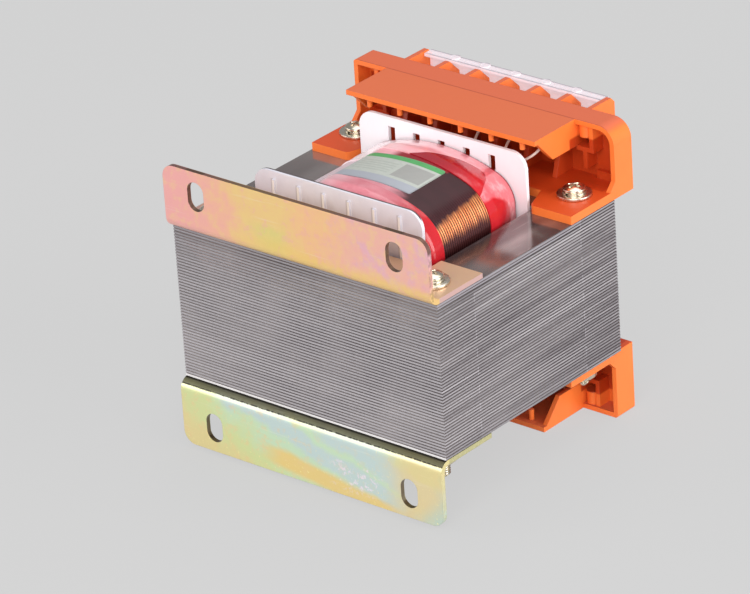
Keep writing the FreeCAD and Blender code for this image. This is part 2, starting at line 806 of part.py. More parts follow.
def make_cover():
    """The clear lid behind the fins, with a lip over their slanted edges and a lug at each."""
    inner_end = fin_centres()[-1] - fin_thickness / 2 - cover_clearance
    front = fin_rear_y
    rear = front + cover_thickness
    plate = box(-inner_end, inner_end, front, rear, cover_bottom, cover_top)
    lip = box(-inner_end, inner_end, cover_lip_front_y, rear, cover_top - cover_thickness, cover_top)
    lugs = [cylinder_z(x, rear - cover_lug_radius, cover_top - cover_thickness,
                       cover_top + cover_lug_height, cover_lug_radius)
            for x in fin_centres()[1:-1]]
    return one_solid(plate.fuse([lip] + lugs))


def lifted(shape):
    """A terminal-block piece raised from the core's bottom plane to its top face."""
    copy = shape.copy()
    copy.translate(Vec(0, 0, stack_height))
    return copy


def save_pair(stem, upper_pieces, lower_pieces):
    """One node over the core, and one under it that is turned over and set nearer the flanges."""
    lowered = [turned_over(lifted(piece)) for piece in lower_pieces]
    for piece in lowered:
        piece.translate(Vec(0, -lower_block_shift, 0))
    save("upper_" + stem, [lifted(piece) for piece in upper_pieces])
    save("lower_" + stem, lowered)


upper_sections = block_sections(0)
lower_sections = block_sections(lower_block_shift)
for stem, pieces in upper_sections.items():
    save_pair(stem, pieces, lower_sections[stem])
for stem, pieces in (("terminal_tags", make_tags()), ("wire_clamps", make_wire_clamps()),
                     ("terminal_screws", make_terminal_screws()),
                     ("terminal_cover", [make_cover()])):
    save_pair(stem, pieces, pieces)


# Clamp screws, washers and nuts

def clamp_places():
    """Each screw's x, y, and the thickness of what lies on and under the core there."""
    places = []
    for x in (-hole_x, hole_x):
        places.append((x, hole_front_y, bracket_thickness))
        places.append((x, hole_rear_y, foot_thickness))
    return places


def ring(x, y, z, outer, inner, height):
    return cylinder_z(x, y, z, z + height, outer).cut(cylinder_z(x, y, z - 1, z + height + 1, inner))


def make_clamp_screw(x, y, seat):
    """Pan head with a cross recess, and a plain shank down through the core."""
    rim = head_height - head_crown
    head = cylinder_z(x, y, seat, seat + rim, head_radius)
    head = head.fuse(Part.makeCone(head_radius, head_radius - head_crown, head_crown,
                                   Vec(x, y, seat + rim), Vec(0, 0, 1)))
    shank = cylinder_z(x, y, seat - screw_length, seat + 0.5, screw_radius)
    floor = seat + head_height - recess_depth
    long_half = recess_length / 2
    half = recess_width / 2
    cross = [box(x - long_half, x + long_half, y - half, y + half, floor, seat + 5),
             box(x - half, x + half, y - long_half, y + long_half, floor, seat + 5)]
    return one_solid(head.fuse(shank).cut(cross))


screws, flat_washers, spring_washers, nut_washers, nuts = [], [], [], [], []
hole = screw_radius + washer_hole_clearance
for x, y, clamped in clamp_places():
    z = stack_height + clamped
    flat_washers.append(ring(x, y, z, flat_washer_radius, hole, flat_washer_thickness))
    z += flat_washer_thickness
    spring = ring(x, y, z, spring_washer_radius, hole, spring_washer_thickness)
    gap = box(x - spring_washer_gap / 2, x + spring_washer_gap / 2, y - 2 * spring_washer_radius, y,
              z - 1, z + 3)
    spring_washers.append(one_solid(spring.cut(gap)))
    z += spring_washer_thickness
    screws.append(make_clamp_screw(x, y, z))
    z = -clamped - flat_washer_thickness
    nut_washers.append(ring(x, y, z, flat_washer_radius, hole, flat_washer_thickness))
    z -= nut_height
    across_corners = nut_across_flats / math.cos(math.pi / 6) / 2
    nut = prism_z(regular_points(x, y, across_corners, 6), z, z + nut_height)
    bore = cylinder_z(x, y, z - 1, z + nut_height + 1, screw_radius + nut_hole_clearance)
    nuts.append(nut.cut(bore))
save("clamp_screws", screws)
save("clamp_washers", flat_washers)
save("clamp_spring_washers", spring_washers)
save("nut_washers", nut_washers)
save("clamp_nuts", nuts)


# Leads

def smooth_wire(points, radius):
    """An eight-sided wire along straight runs joined by tangent arcs; it starts along +Y."""
    path = [Vec(*p) for p in points]
    edges = []
    start = path[0]
    for before, corner, after in zip(path, path[1:], path[2:]):
        back = (before - corner).normalize()
        on = (after - corner).normalize()
        turn = math.pi - back.getAngle(on)
        length = 0.45 * min((before - corner).Length, (after - corner).Length)
        arc_radius = length / math.tan(turn / 2)
        arc_start = corner + back * length
        arc_end = corner + on * length
        towards = (back + on).normalize()
        arc_middle = corner + towards * (arc_radius / math.cos(turn / 2) - arc_radius)
        edges.append(Part.LineSegment(start, arc_start).toShape())
        edges.append(Part.Arc(arc_start, arc_middle, arc_end).toShape())
        start = arc_end
    edges.append(Part.LineSegment(start, path[-1]).toShape())
    x, y, z = points[0]
    section = polygon([(px, y, pz) for px, pz in regular_points(x, z, radius, 8)])
    return Part.Wire(edges).makePipe(section)


def make_leads(shift):
    """The leads to a block that is set this much nearer the flanges."""
    leads = []
    tag_places = cell_centres()[-len(lead_slots):]
    for tag_x, slot, slot_height in zip(tag_places, lead_slots, lead_slot_heights):
        slot_x_here = slot * wire_slot_pitch
        lying_height = pedestal_height + plate_thickness + lead_radius
        points = [(slot_x_here, winding_rear_y, slot_height),
                  (slot_x_here, winding_rear_y + lead_slot_run, slot_height),
                  (tag_x, lead_middle_y - shift, lead_middle_height),
                  (tag_x, tongue_front_y - lead_rise_gap - shift, lying_height),
                  (tag_x, tongue_front_y + lead_end_run - shift, lying_height)]
        leads.append(lifted(smooth_wire(points, lead_radius).Solids[0]))
    return leads


save("upper_lead_wires", make_leads(0))
save("lower_lead_wires", [turned_over(lead) for lead in make_leads(lower_block_shift)])
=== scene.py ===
"""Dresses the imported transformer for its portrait: finishes, windings, film, screws and the stage.

Laid out as an add-on: each operator makes one piece or a group of like pieces in the
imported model's own frame, in metres, and main() runs them in order.
"""
import math

import bpy
import numpy as np
from mathutils import Matrix


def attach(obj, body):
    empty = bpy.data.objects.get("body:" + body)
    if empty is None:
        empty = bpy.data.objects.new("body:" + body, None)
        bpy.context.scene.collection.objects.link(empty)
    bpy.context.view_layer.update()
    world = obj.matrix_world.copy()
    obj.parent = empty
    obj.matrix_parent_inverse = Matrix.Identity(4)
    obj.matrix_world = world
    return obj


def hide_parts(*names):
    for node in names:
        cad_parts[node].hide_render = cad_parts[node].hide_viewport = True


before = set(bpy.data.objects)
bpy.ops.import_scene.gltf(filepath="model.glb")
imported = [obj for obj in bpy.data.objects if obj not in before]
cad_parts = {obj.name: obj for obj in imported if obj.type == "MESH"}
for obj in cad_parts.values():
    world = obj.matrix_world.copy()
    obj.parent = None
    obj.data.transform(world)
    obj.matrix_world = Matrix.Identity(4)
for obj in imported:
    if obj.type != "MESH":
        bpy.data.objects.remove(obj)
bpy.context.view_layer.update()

bl_info = {
    "name": "Transformer portrait",
    "version": (1, 0, 0),
    "blender": (4, 2, 0),
    "location": "3D View > Sidebar > Transformer",
    "description": "Finishes and fine pieces of a laminated chassis transformer",
    "category": "Object",
}

MM = 0.001
FRAME_WIDTH = 750  # the picture's width in pixels

# Sizes below are in millimetres, in core coordinates: X from the core's middle, Y back from
# its front face and Z up from its underside. Adding CORE_TO_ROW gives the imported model's frame.
CORE_TO_ROW = np.array([0.0, -48.4, 21.4])
STACK = 47.94  # the core's height
LAYER = 0.94  # one visible pair of sheets
PACKET_LAYERS = 3  # pairs that lie the same way round
SLOT_X = 36  # the brackets' slots, left and right
WIRE_SLOT_PITCH = 9.15
LOWER_SHIFT = 2.2  # the lower block is this much nearer the flanges

WINDING_FRONT, WINDING_REAR = 17.75, 62.25
BAND_FRONT, BAND_REAR = 21.0, 51.0  # where the winding has its full height
FRONT_STEP, REAR_STEP = 2.9, 4.3  # it is slimmer by this beside the flanges
FRONT_FILM_END, REAR_FILM_START = 25.5, 46.5
CROWN, CROWN_RADIUS = 15.9, 60.0  # the winding's top over the core
WINDING_OUTLINE = (29.9, CROWN, CROWN_RADIUS, 12.6)
BORE_OUTLINE = (23.4, 8.2, 60.8, 6.8)
SLUMP = 3.85  # how far the left shoulder hangs slack

LABEL_X, LABEL_Y = 3.25, 35.6
LABEL_HALF_LENGTH, LABEL_HALF_WIDTH = 12.4, 8.5
LABEL_SLOPE, LABEL_LEAN = 0.137, 0.017

SCREW_PLACES = ((-40.0, 8.0, 1.5), (40.0, 8.0, 1.5), (-40.0, 72.0, 2.6), (40.0, 72.0, 2.6))
SCREW_LENGTH = 61.6
SHANK_RADIUS = 2.0
WASHER_BORE, WASHER_RADIUS, WASHER_CHAMFER = 2.15, 5.1, 0.22
FLAT_WASHER = 1.0  # thickness
SPRING_WASHER = 0.7
NUT_HEIGHT = 3.2


# Sizes and colours that a user may change

class TransformerLook(bpy.types.PropertyGroup):
    """Sizes and colours of the transformer's finishes and fine pieces."""

    turn_pitch: bpy.props.FloatProperty(
        name="Turn pitch", description="Distance from one turn of the outer winding to the next",
        default=0.887 * MM, min=0.3 * MM, unit="LENGTH")
    turn_depth: bpy.props.FloatProperty(
        name="Turn depth", description="Depth of the groove between two turns",
        default=0.26 * MM, min=0.0, unit="LENGTH")
    thread_pitch: bpy.props.FloatProperty(
        name="Thread pitch", description="Pitch of the clamp screws' thread",
        default=0.7 * MM, min=0.2 * MM, unit="LENGTH")
    thread_depth: bpy.props.FloatProperty(
        name="Thread depth", description="Depth of the clamp screws' thread",
        default=0.36 * MM, min=0.0, unit="LENGTH")
    orange: bpy.props.FloatVectorProperty(
        name="Moulding", description="Colour of the terminal blocks",
        default=(0.91, 0.195, 0.035), size=3, min=0.0, max=1.0, subtype="COLOR")
    film: bpy.props.FloatVectorProperty(
        name="Film", description="Colour of the film over the winding's ends",
        default=(0.72, 0.035, 0.045), size=3, min=0.0, max=1.0, subtype="COLOR")
    backdrop: bpy.props.FloatVectorProperty(
        name="Backdrop", description="Colour that the floor and the background show",
        default=(0.645, 0.645, 0.645), size=3, min=0.0, max=1.0, subtype="COLOR")


def look():
    """The scene's own sizes and colours."""
    return bpy.context.scene.transformer_look


# Materials

def arithmetic(operation):
    """An operator and its reflected form, each of which adds one Math node."""
    def straight(self, other):
        return self.paint.maths(operation, self, other)

    def reflected(self, other):
        return self.paint.maths(operation, other, self)

    return straight, reflected


class Number:
    """A number worked out over a surface, with ordinary arithmetic."""

    __add__, __radd__ = arithmetic("ADD")
    __sub__, __rsub__ = arithmetic("SUBTRACT")
    __mul__, __rmul__ = arithmetic("MULTIPLY")
    __truediv__, __rtruediv__ = arithmetic("DIVIDE")
    __pow__, __rpow__ = arithmetic("POWER")

    def __init__(self, paint, socket):
        self.paint = paint
        self.socket = socket

    def __abs__(self):
        return self.paint.maths("ABSOLUTE", self)

    def floor(self):
        return self.paint.maths("FLOOR", self)

    def part(self):
        """What is left over the whole number below."""
        return self.paint.maths("FRACT", self)

    def most(self, other):
        return self.paint.maths("MAXIMUM", self, other)

    def rise(self, low, high):
        """0 below low and 1 above high, turning smoothly between them."""
        node = self.paint.node("ShaderNodeMapRange", {"interpolation_type": "SMOOTHSTEP", "clamp": True},
                               {"Value": self, "From Min": low, "From Max": high})
        return Number(self.paint, node.outputs["Result"])

    def fall(self, low, high):
        return 1 - self.rise(low, high)

    def near(self, centre, half, soft):
        """1 within half of the centre, falling to 0 over the soft width beyond."""
        return abs(self - centre).fall(half, half + soft)

    def spread(self, low, high):
        """Carries 0 to 1 on to low to high."""
        return self * (high - low) + low


class Paint:
    """A material being put together."""

    def __init__(self, name):
        self.material = bpy.data.materials.new(name)
        self.material.use_nodes = True
        self.tree = self.material.node_tree
        self.tree.nodes.clear()
        self.where = None
        self.normal = None

    def node(self, kind, settings=None, values=None):
        """Adds a node of a kind, sets it up, and gives its sockets values or links."""
        node = self.tree.nodes.new(kind)
        for key, value in (settings or {}).items():
            setattr(node, key, value)
        for key, value in (values or {}).items():
            self.feed(node.inputs[key], value)
        return node

    def feed(self, socket, value):
        """Links a socket to what is worked out, or sets it to a plain value."""
        if isinstance(value, Number):
            value = value.socket
        if isinstance(value, bpy.types.NodeSocket):
            self.tree.links.new(value, socket)
        elif socket.type == "RGBA":
            socket.default_value = (*tuple(value)[:3], 1.0)
        else:
            socket.default_value = value

    def maths(self, operation, *operands):
        node = self.node("ShaderNodeMath", {"operation": operation}, dict(enumerate(operands)))
        return Number(self, node.outputs[0])

    def parts(self, vector):
        """A vector's X, Y and Z."""
        split = self.node("ShaderNodeSeparateXYZ", None, {0: vector})
        return [Number(self, output) for output in split.outputs]

    def place(self):
        """The point's X, Y and Z in millimetres, in core coordinates."""
        if self.where is None:
            here = self.parts(self.node("ShaderNodeTexCoord").outputs["Object"])
            self.where = [number * 1000 - float(shift) for number, shift in zip(here, CORE_TO_ROW)]
        return self.where

    def facing(self):
        """The surface normal's X, Y and Z."""
        if self.normal is None:
            self.normal = self.parts(self.node("ShaderNodeNewGeometry").outputs["Normal"])
        return self.normal

    def vector(self, x, y, z):
        return self.node("ShaderNodeCombineXYZ", None, {0: x, 1: y, 2: z}).outputs[0]

    def noise(self, size, detail=3.0, roughness=0.55, stretch=(1, 1, 1), shift=0.0):
        """Soft mottling; size is about one patch across in millimetres, stretch makes it longer one way."""
        x, y, z = self.place()
        where = self.vector(x / (size * stretch[0]) + shift, y / (size * stretch[1]), z / (size * stretch[2]))
        node = self.node("ShaderNodeTexNoise", None,
                         {"Vector": where, "Scale": 1.0, "Detail": detail, "Roughness": roughness})
        return Number(self, node.outputs["Fac"])

    def random(self, first, second):
        """One random number for each pair of whole numbers."""
        node = self.node("ShaderNodeTexWhiteNoise", {"noise_dimensions": "2D"},
                         {"Vector": self.vector(first, second, 0.0)})
        return Number(self, node.outputs["Value"])

    def mix(self, factor, first, second):
        node = self.node("ShaderNodeMix", {"data_type": "RGBA", "clamp_factor": True},
                         {0: factor, 6: first, 7: second})
        return node.outputs[2]

    def over(self, colour, *coats):
        """Lays coats over a colour one by one, each given as how much of it shows and its colour."""
        for share, film_over_dark_reflection in coats:
            colour = self.mix(share, colour, film_over_dark_reflection)
        return colour

    def bump(self, height, distance, strength, under=None):
        """A relief; height runs from 0 to 1 and distance is its depth in millimetres."""
        values = {"Height": height, "Distance": distance * MM, "Strength": strength}
        if under is not None:
            values["Normal"] = under
        return self.node("ShaderNodeBump", None, values).outputs["Normal"]

    def soft_edges(self, radius):
        """Normals that round off sharp edges by a radius in millimetres."""
        return self.node("ShaderNodeBevel", {"samples": 4}, {"Radius": radius * MM}).outputs["Normal"]

    def surface(self, values):
        shader = self.node("ShaderNodeBsdfPrincipled", None, values)
        self.node("ShaderNodeOutputMaterial", None, {"Surface": shader.outputs[0]})
        return self.material


def seen(red, green, blue):
    """A colour as read off a screen, 0 to 255, turned into the linear numbers that a shader takes."""
    values = np.array([red, green, blue]) / 255
    linear = np.where(values <= 0.04045, values / 12.92, ((values + 0.055) / 1.055) ** 2.4)
    return tuple(float(v) for v in linear)


def tinted(colour, red, green, blue):
    """A colour with each part scaled, and held at 1."""
    return [min(1.0, part * share) for part, share in zip(colour, (red, green, blue))]


def lamination_paint():
    """Cut edges of stacked sheets, pale and dark by turns and clearer in some bands; rolled faces above."""
    paint = Paint("lamination_steel")
    x, y, z = paint.place()
    nx, _, nz = paint.facing()
    side = abs(nx).rise(0.4, 0.6)
    front = 1 - side
    streaks = paint.noise(2.4, 4.0, 0.6, (14, 14, 0.11))
    grit = paint.noise(0.55, 2.0, 0.6, (2.2, 2.2, 0.5))
    bands = paint.noise(5.5, 2.0, 0.5, (9, 9, 1.0), 3.7)

    # Where E meets I, 16 mm from the front or the rear in alternate packets
    packet = (z / (PACKET_LAYERS * LAYER)).floor()
    joint_y = (packet / 2).part() * -96 + 64
    joint = abs(y - joint_y).fall(0.05, 0.30) * side
    behind = y.rise(joint_y - 0.01, joint_y + 0.01)
    own_grey = paint.random((z / LAYER).floor(), behind * 7 + side * 3)

    # The sheets' own greys; the sides a little darker as painted shade; the front darker high up and lighter
    # low down; and the dark seam round each pair
    calm_front = z.rise(STACK - 16, STACK - 2) * front
    tone = ((own_grey - 0.5) * (side * 0.24 + 0.14) + (streaks - 0.5) * (side * 0.35 + 0.3)
            + (grit - 0.5) * 0.5 + 0.6)
    tone = (tone - calm_front * 0.20 - side * (0.5 - bands.rise(0.35, 0.62)) * 0.3 - side * 0.12
            + z.fall(6, 30) * front * 0.12)
    clear = bands.rise(0.36, 0.60).spread(0.78, 1.0) * (1 - calm_front * 0.62) * (side * 0.42 + 0.58)
    smooth = (z.near(STACK - 6.2, 3.2, 1.2) + z.near(2.2, 1.8, 0.8)) * side * y.near(40, 23.8, 0.2)
    clear = clear * (1 - smooth * 0.5)
    within = abs((z / LAYER).part() - 0.5)
    seam = within.rise(side * -0.08 + 0.20, 0.42) * clear

    # The top pair stands out pale over a dark line, painted as the shade under its edge
    short_side = side * y.fall(63.6, 64.2)
    lip = z.rise(STACK - 1.60, STACK - 1.50) * (short_side + front * 0.3)
    shadow_under_lip = z.near(STACK - 1.86, 0.24, 0.08) * (short_side * 0.95 + front * 0.45)
    rust = paint.noise(3.2, 5.0, 0.7, shift=9.0).rise(0.70, 0.82) * 0.4
    edge = paint.over(
        paint.mix(tone, seen(102, 97, 101), seen(188, 183, 186)),
        (seam, seen(26, 22, 28)),
        (joint * 0.5, seen(190, 186, 192)),
        (rust, seen(70, 60, 60)),
        (lip * 0.85, paint.mix(streaks, seen(124, 118, 124), seen(170, 165, 172))),
        (shadow_under_lip, seen(22, 18, 24)),
        (z.fall(0.8, 0.9) * front, seen(236, 232, 232)))

    flat = abs(nz).rise(0.5, 0.9)
    sheen = paint.noise(17, 3.0, 0.5, (1.0, 2.6, 1.0))
    scratch = paint.noise(1.2, 3.0, 0.6, (1.0, 12.0, 1.0)).rise(0.56, 0.72) * 0.25
    shade = (x - y * 0.03).near(34.5, 2.2, 3.5) * y.near(38, 18, 6)
    face = paint.over(
        paint.mix(sheen.rise(0.32, 0.72), seen(118, 106, 106), seen(180, 170, 167)),
        (x.fall(-26, -6) * 0.35, seen(190, 182, 178)),
        (shade * 0.55, seen(70, 52, 58)),
        (scratch, seen(190, 184, 184)))
    relief = paint.bump((grit * 0.4 + own_grey * 0.6) * (1 - flat), 0.12, 0.5)
    return paint.surface({"Base Color": paint.mix(flat, edge, face), "Metallic": flat * 0.5 + 0.25,
                          "Roughness": flat.spread(0.50, 0.13), "Normal": relief})


def zinc_shade(paint, colour, rim):
    """What both brackets share: scratches, specks, dark sheared edges, slot walls painted dark as shade, and
    their sheen.
    """
    x, y, z = paint.place()
    nx, ny, nz = paint.facing()
    speck = paint.noise(1.1, 2.0, 0.5)
    scratch = paint.noise(3.0, 4.0, 0.6, (10, 10, 0.3)).rise(0.62, 0.72) * 0.15
    cloud = paint.noise(8, 4.0, 0.6, shift=5.0)
    flange = y.fall(-1.2, -1.1)
    rim_face = abs(ny).fall(0.3, 0.6) * flange
    end_face = abs(nx).rise(0.5, 0.8) * flange * 0.45 * speck.rise(0.35, 0.6)
    sheared = (abs(nz).rise(0.75, 0.95) * y.fall(-1.35, -1.0)).most(end_face)
    sheared = sheared.most(x.rise(41, 43) * z.rise(STACK + 15, STACK + 16.5) * rim_face)
    colour = paint.over(
        colour,
        (scratch, seen(246, 242, 228)),
        (sheared * 0.85, rim),
        # The slots' walls, painted dark as shade
        (rim_face * abs(abs(x) - SLOT_X).fall(3.2, 3.4) * 0.85, seen(84, 62, 44)))
    relief = paint.bump(speck, 0.03, 0.3, paint.soft_edges(0.2))
    return paint.surface({"Base Color": colour, "Metallic": 0.45, "Roughness": cloud.spread(0.24, 0.40),
                          "Normal": relief})


def upper_zinc_paint():
    """Upper bracket: pink at the left, yellow in the middle and patches of pink and lilac at the right."""
    paint = Paint("upper_zinc")
    x, y, z = paint.place()
    nz = paint.facing()[2]
    high = z - STACK
    drift = paint.noise(20, 4.0, 0.6)
    cloud = paint.noise(7, 4.0, 0.62, shift=2.0)
    fine = paint.noise(3.2, 4.0, 0.65, shift=8.0)
    wander = (drift - 0.5) * 34 + (cloud - 0.5) * 12
    green = (x + wander * 0.6).near(-10, 1.5, 7) * (high + wander * 0.3).near(6, 2, 5)
    lilac = cloud.rise(0.52, 0.66) * (x + wander).rise(4, 22)
    yellow = (high + wander * 0.25).fall(3.5, 7.5) * (x + wander * 0.4).rise(-36, 10)
    foot = abs(nz).rise(0.6, 0.9) * y.rise(0.5, 1.5)
    foot_edge = abs(nz).fall(0.3, 0.6) * y.rise(1.0, 1.5)
    colour = paint.over(
        paint.mix((x + wander).rise(-44, -8), seen(240, 172, 166), seen(240, 190, 140)),
        ((x + wander + 2).near(-9, 5, 11) * 0.8, seen(234, 200, 132)),
        (green * 0.5, seen(210, 212, 122)),
        ((x + wander).rise(8, 26) * 0.8, seen(236, 178, 168)),
        (lilac * 0.6, seen(224, 172, 196)),
        (yellow * 0.75, seen(236, 200, 112)),
        (fine.rise(0.5, 0.66) * 0.35, seen(236, 206, 132)),
        (fine.fall(0.36, 0.48) * 0.35, seen(238, 170, 168)),
        (foot * 0.7, seen(216, 178, 158)),
        (foot_edge * 0.85, seen(206, 168, 172)))
    return zinc_shade(paint, colour, seen(78, 52, 46))


def lower_zinc_paint():
    """Lower bracket: pale green and blue clouds in yellow and orange, with worn white specks."""
    paint = Paint("lower_zinc")
    x, y, z = paint.place()
    nz = paint.facing()[2]
    speck = paint.noise(0.8, 2.0, 0.6)
    drift = paint.noise(22, 4.0, 0.6, shift=7.0)
    cloud = paint.noise(7, 4.0, 0.62, shift=4.0)
    fine = paint.noise(3.2, 4.0, 0.65, shift=8.0)
    wander = (drift - 0.5) * 40 + (cloud - 0.5) * 16
    tilted = x + z * 1.6 + wander
    pool = (tilted + z * 1.6).near(-26, 6, 9).most((tilted + z * 0.6).near(12, 8, 9))
    amber = (z + x * 0.16 + wander * 0.10).near(-16.6, 1.6, 2.4) * x.near(8, 18, 12)
    worn = paint.noise(1.6, 4.0, 0.7, shift=3.0).rise(0.52, 0.64) * x.near(17, 4, 8) * z.near(-13, 2, 5)
    specks = paint.noise(0.9, 3.0, 0.7, shift=6.0).rise(0.60, 0.70) * z.fall(-17, -12).spread(0.35, 0.75)
    foot_edge = abs(nz).fall(0.3, 0.6) * y.rise(1.0, 1.5)

    # Down the bend: a painted highlight, a painted dark reflection of the core above, and thin black lines
    # painted where the reflection turns and as shade in the gap under the core
    bend = y.rise(-2.5, -2.2)
    lit = nz.near(0.34, 0.16, 0.12) * bend
    shaded = (nz + (speck - 0.5) * 0.02).rise(0.57, 0.61) * bend
    line = (nz.near(0.62, 0.04, 0.03) * speck.rise(0.35, 0.6)).most(nz.rise(0.90, 0.94))
    line = line * bend * nz.fall(0.992, 0.998)
    colour = paint.over(
        paint.mix(tilted.rise(-66, -44), seen(228, 212, 152), seen(214, 222, 160)),
        (tilted.rise(-46, -26), seen(202, 226, 192)),
        (pool * 0.75, seen(196, 212, 218)),
        (amber * 0.85, seen(240, 204, 122)),
        ((x + wander * 0.3).rise(24, 38) * 0.7, seen(238, 206, 132)),
        ((x - z * 0.6 + wander * 0.3).rise(48, 58) * 0.7, seen(178, 212, 208)),
        (worn * 0.8, seen(244, 228, 240)),
        (fine.rise(0.5, 0.66) * x.fall(-10, 10).spread(0.15, 0.45), seen(236, 206, 150)),
        (specks, seen(250, 236, 170)),
        (foot_edge * 0.8, paint.mix(speck, seen(150, 148, 100), seen(206, 204, 160))),
        # The bend's painted highlight, painted dark reflection and painted shade lines
        (lit * 0.8, seen(255, 250, 206)),
        (shaded * 0.95, paint.mix(cloud, seen(78, 74, 54), seen(120, 118, 90))),
        (line * 0.9, seen(26, 22, 14)))
    return zinc_shade(paint, colour, seen(206, 200, 140))


def moulding_paint():
    """Orange moulded plastic: even and slightly satin; painted shade makes it duller on top and deeper in its
    hollows, with a painted shade line along the hood's crease.
    """
    paint = Paint("block_plastic")
    x, y, z = paint.place()
    nz = paint.facing()[2]
    high = (z - STACK).most(0 - z)
    base = look().orange
    mottle = paint.noise(7, 4.0, 0.6)
    grain = paint.noise(0.35, 2.0, 0.5)
    up = nz.rise(0.6, 0.97)
    roof = high.rise(15, 16) * up
    back = y + z.fall(0, 1) * LOWER_SHIFT
    end_box = y.rise(77.5, 78.2) * abs(x).fall(45.0, 45.6)
    under_hood = y.rise(66.5, 72) * high.rise(2.0, 2.8) * abs(x).fall(33.4, 34.2)
    hollow_shade = end_box.most(under_hood) * y.fall(88.4, 88.8) * high.fall(15.6, 16.4)
    # Painted shade: darker tops, a dark line along the hood's crease with the roof behind it tinted, and
    # deeper shade in the hollows
    colour = paint.over(
        paint.mix(mottle, tinted(base, 0.96, 0.90, 0.85), tinted(base, 1.04, 1.10, 1.15)),
        (up * 0.9, paint.mix(high.rise(6, 12), seen(206, 70, 24), seen(207, 102, 64))),
        (back.rise(80.6, 81.0) * roof * 0.3, seen(204, 92, 70)),
        (back.near(80.8, 0.12, 0.2) * roof * 0.5, seen(150, 52, 28)),
        (hollow_shade * 0.92, paint.mix(mottle, seen(172, 44, 12), seen(196, 64, 20))))
    relief = paint.bump(grain, 0.015, 0.4, paint.soft_edges(0.22))
    return paint.surface({"Base Color": colour, "Roughness": mottle.spread(0.36, 0.48), "Normal": relief,
                          "IOR": 1.45})


def bobbin_paint():
    """Off-white moulding; the front flange is greyer, with painted shade gathered low between its ribs, a
    painted shadow beside each rib and a painted highlight along it.
    """
    paint = Paint("bobbin_plastic")
    x, y, z = paint.place()
    _, ny, nz = paint.facing()
    flow = paint.noise(6, 4.0, 0.6, (1.0, 1.0, 2.0))
    high = z - STACK
    low = (high + (flow - 0.5) * 9).fall(6.5, 12.5)
    along = (x / WIRE_SLOT_PITCH).part() - 0.5
    on_ribs = high.fall(13.6, 14.2) * ny.fall(-0.6, -0.4)
    line = nz.rise(0.4, 0.7) * y.near(17.45, 0.42, 0.1) * flow.rise(0.3, 0.4)
    dull = paint.over(
        paint.mix(flow, seen(232, 230, 238), seen(212, 210, 220)),
        (low * 0.5, seen(172, 160, 160)),
        # A painted shadow beside each rib, then a painted highlight along it
        (along.near(-0.09, 0.04, 0.05) * on_ribs * 0.4, seen(146, 132, 124)),
        (along.near(0.0, 0.05, 0.02) * on_ribs * 0.8, seen(246, 242, 236)),
        (line * 0.95, seen(56, 40, 36)))
    white = paint.mix(flow, seen(252, 248, 250), seen(244, 236, 240))
    return paint.surface({"Base Color": paint.mix(y.fall(20, 40), white, dull), "Roughness": 0.42,
                          "Normal": paint.soft_edges(0.25)})


def copper_paint():
    """Enamelled copper: a painted highlight down the shoulders, a painted dark reflection over the crown,
    film round the label.
    """
    paint = Paint("copper_wire")
    x, y, z = paint.place()
    turns = y / (look().turn_pitch / MM)
    gap = abs(turns.part() - 0.5)
    own = paint.random(turns.floor(), 3.0)
    wander = paint.noise(4, 3.0, 0.5, (1.0, 0.5, 1.0))
    drift = wander - 0.5
    above = z.rise(STACK - 1, STACK)
    high = (z - STACK).most(0 - z)
    # bare marks the shoulders, where the turns show; there the copper is painted bright as a highlight,
    # darker near the core as painted shade, with painted shade in the gaps between turns
    bare = (abs(x) + (y - 46) * 0.08 + drift * 1.6 + (own - 0.5) * 0.2).rise(25.2, 26.8)
    bare = bare * (1 - above * x.fall(-25, -23))
    copper = paint.mix((high + drift * 3).rise(2.0, 6.0), seen(84, 42, 42),
                       paint.mix(own, seen(228, 130, 74), seen(246, 162, 102)))
    veil = (y - x * 0.14 + drift * 0.8).fall(27.2, 27.8) * (x + drift * 5).fall(10, 17)
    rear = (y - x * LABEL_SLOPE).rise(43.2, 43.5) * (x + drift).fall(15.6, 16.4)
    # Over the crown the winding is painted dark as a reflection, with the films' colours laid over it
    film_over_dark_reflection = paint.over(
        paint.mix(paint.noise(9, 3.0, 0.5, (1.0, 0.4, 1.0)), seen(64, 24, 30), seen(42, 10, 16)),
        (veil * above * 0.9, paint.mix(wander, seen(206, 120, 132), seen(226, 162, 170))),
        (rear * above * 0.95, paint.mix(x.rise(-4, 0), seen(240, 176, 184), seen(142, 22, 34))),
        (x.fall(-10.5, -8.6) * above * 0.95, paint.mix(wander, seen(226, 208, 214), seen(210, 188, 196))))
    colour = paint.over(film_over_dark_reflection, (bare, copper), (gap.rise(0.16, 0.40) * bare * 0.92, seen(50, 16, 18)))
    return paint.surface({"Base Color": colour, "Metallic": bare * 0.45 + 0.1,
                          "Roughness": bare.spread(0.38, 0.34)})


def film_red(paint, shade):
    """The film's red, painted from a deep, shaded tone to a bright, lit one."""
    base = look().film
    return paint.mix(shade, tinted(base, 0.46, 0.26, 0.45), tinted(base, 0.78, 0.46, 0.54))


def film_surface(paint, colour, crinkle, broad):
    """The film's gloss, with a fine crinkle."""
    return paint.surface({"Base Color": colour, "Roughness": broad.spread(0.14, 0.26), "Coat Weight": 0.25,
                          "Coat Roughness": 0.10, "Normal": paint.bump(crinkle, 0.25, 0.35)})


